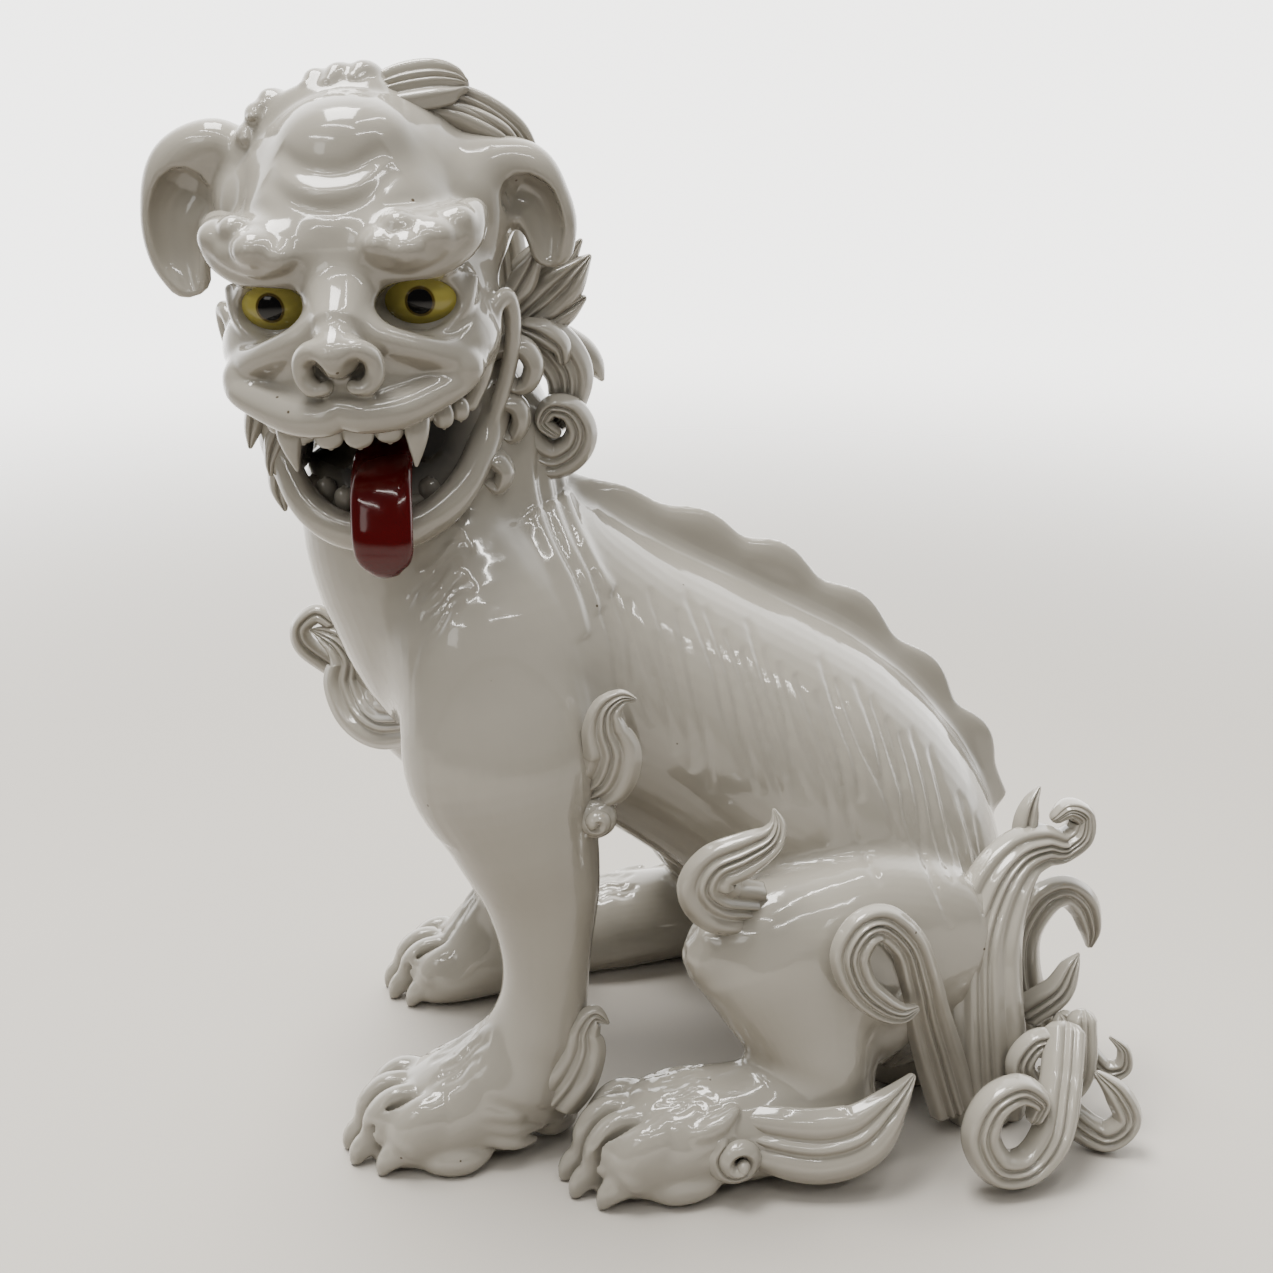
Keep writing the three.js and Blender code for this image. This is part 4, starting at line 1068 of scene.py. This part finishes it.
def add_mouth():
    tongue = [[3, 20, -62, 12, 4], [6, 50, -58, 12.5, 4], [8, 72, -65, 12.5, 4], [8.5, 82, -80, 12.5, 4.5],
              [8.5, 84, -89, 12, 4.5], [8.5, 84, -94, 10.2, 4.2], [8.5, 84, -96.5, 7.5, 3.6]]
    add_loft("tongue", [strand(tongue, 1, 0.3, normal=unit(Y + Z), place=from_head)], RED)
    add_teeth("upper_teeth", ((-34, -20, -7, 6, 19, 31, 38), -39, -35.5),
              ((-32, 5.2, -9), (-21, 6.2, -11), (-9, 6.4, -12), (3, 6.4, -12), (14.5, 6.2, -11),
               (34, 4.6, -10), (40, 4, -9)), (74, 77), (22, 40))
    add_teeth("lower_teeth", ((-32, -22, -8, 8, 22, 31), -80, -81),
              ((-29, 4.6, 10), (-21, 4.6, 12), (-12, 4.8, 10), (22, 5, 10), (30, 4.6, 11)),
              (55, 57), (26, 34))
    fang = [[25.5, 69, -33, 5.6, 5.5], [25.5, 73, -41, 5.2, 5], [25, 74, -48, 3.6, 3.8],
            [24, 75, -56, 0.8, 0.8]]
    for side, _, mirror in SIDES:
        add_loft(f"fang_{side}", [plain_strand(mirror(fang), 32, Y, 24)])


def add_eyes():
    """The eyes, with the left pupil painted a little nearer the nose than the right one is."""
    for side, flip, look in (("left", 1, -1.5), ("right", -1, 1.0)):
        pupil = from_head((flip * 31 + look, 58, 5))
        paint = eye_glaze(f"eye_glaze_{side}", tuple(to_metres(pupil)), tuple(HEAD_AXES[1]))
        eyeball = ball_rings((flip * 28, 43.5, 4.5), (18, 15.4, 13.6))
        points, quads, triangles = skin(from_head(eyeball), False)
        add_piece(f"eye_{side}", points, [quads, triangles], paint)


# ---------------------------------------------------------------- stage, lights and camera
# Each light's place and size in metres, and its power in watts.
LIGHTS = {
    "overhead_light": ((-0.1, -0.5, 2.3), (1.2, 0.9), 86),
    "side_light": ((1.6, -1.9, 1.4), (0.6, 0.5), 2.5),
    "tube_1": ((0.9, -0.7, 1.9), (1.3, 0.04), 7),
    "tube_2": ((0.4, 0.4, 2.0), (1.3, 0.04), 8),
    "tube_3": ((1.5, 0.5, 1.7), (1.3, 0.04), 6),
    "tube_4": ((1.3, -1.6, 1.7), (1.3, 0.04), 6),
}
LIGHT_AIM = (0, 0, 0.25)
# Where the studio's bright wall is, and how brightly it and the rest of the studio glow.
BRIGHT_WALL, WALL_GLOW, STUDIO_GLOW = (-0.97, 0.17, 0.0), 4.0, 0.12


def floor_material():
    """A plain pale floor that gives way to the studio's backdrop away from the statue."""
    material, paint, shader = new_material("pale_floor")
    shader.inputs["Base Color"].default_value = (0.52, 0.495, 0.455, 1)
    shader.inputs["Roughness"].default_value = 0.8
    reach = paint.vector("LENGTH", paint.add("ShaderNodeTexCoord").outputs["Object"])
    blend = paint.add("ShaderNodeMixShader")
    away = paint.ramp(reach.outputs["Value"], 0.35, 2.6, "SMOOTHERSTEP")
    clear = paint.add("ShaderNodeBsdfTransparent")
    for source, socket in zip((away, shader.outputs[0], clear.outputs[0]), blend.inputs):
        paint.links.new(source, socket)
    paint.links.new(blend.outputs[0], paint.nodes["Material Output"].inputs["Surface"])
    return material


def add_stage():
    bpy.ops.mesh.primitive_plane_add(size=12, location=(0, 0, 0))
    floor = bpy.context.object
    floor.name = "floor"
    floor.data.materials.append(floor_material())
    world = bpy.data.worlds.new("studio")
    bpy.context.scene.world = world
    world.use_nodes = True
    paint = Paint(world.node_tree)
    background = paint.nodes["Background"]
    background.inputs["Color"].default_value = (1.0, 0.985, 0.96, 1)
    toward = paint.vector("DOT_PRODUCT", paint.add("ShaderNodeTexCoord").outputs["Generated"], BRIGHT_WALL)
    glow = paint.ramp(toward.outputs["Value"], 0.0, 0.8, bottom=STUDIO_GLOW, top=WALL_GLOW)
    paint.links.new(glow, background.inputs["Strength"])
    for name, (place, size, power) in LIGHTS.items():
        light = bpy.data.lights.new(name, "AREA")
        light.shape = "RECTANGLE"
        light.size, light.size_y = size
        light.energy = power
        light.color = (1.0, 0.97, 0.92)
        lamp = bpy.data.objects.new(name, light)
        bpy.context.scene.collection.objects.link(lamp)
        lamp.location = place
        aim = Vector(LIGHT_AIM) - Vector(place)
        lamp.rotation_euler = aim.to_track_quat("-Z", "Y").to_euler()


def add_camera():
    across, rise = math.sin(CAMERA_TURN), math.sin(CAMERA_RISE)
    level = math.cos(CAMERA_RISE)
    back = np.array([across * level, -math.cos(CAMERA_TURN) * level, rise])
    right = np.array([math.cos(CAMERA_TURN), across, 0])
    up = np.cross(back, right)
    place = to_metres(CAMERA_TARGET + back * CAMERA_DISTANCE)
    data = bpy.data.cameras.new("camera")
    data.sensor_width = SENSOR_WIDTH
    data.lens = FOCAL_LENGTH
    camera = bpy.data.objects.new("camera", data)
    bpy.context.scene.collection.objects.link(camera)
    matrix = Matrix.Identity(4)
    for column, axis in enumerate((right, up, back, place)):
        for row in range(3):
            matrix[row][column] = axis[row]
    camera.matrix_world = matrix
    bpy.context.scene.camera = camera


def line_set(lines, drop, side, width, depth):
    return {"lines": lines, "drop": drop, "side": side, "width": width, "depth": depth}


def make_statue():
    body = make_body()
    head = make_head()
    body_lines = [line_set(flank_lines(), 0, side, 1.9, 1.5) for side in (1, -1)]
    body_lines.append(line_set(neck_lines(), 0, 1, 3.2, -2.4))
    for paw in ((57, -116, 1), (-83, -96, 1), (98, -20, 1), (-98, -20, -1)):
        body_lines.append(line_set(paw_lines(*paw), 2, 1, 1.9, 1.8))
    add_castings(body, None, lambda points: head.sample(into_head(points)) < BURIED, body_lines, {})
    brow_lines = BROW_GROOVES + [mirrored(line) for line in BROW_GROOVES]
    head_lines = [line_set(FOREHEAD_CREASES, 1, 1, 4, 1.7), line_set(brow_lines, 1, 1, 2, 1.2)]
    add_castings(head, from_head, lambda points: body.sample(points) < BURIED, head_lines,
                 {"head_shell": from_head((2, 10, 5))})
    add_eyes()
    add_mouth()
    add_mane()
    add_straps()


add_stage()
add_camera()
make_statue()
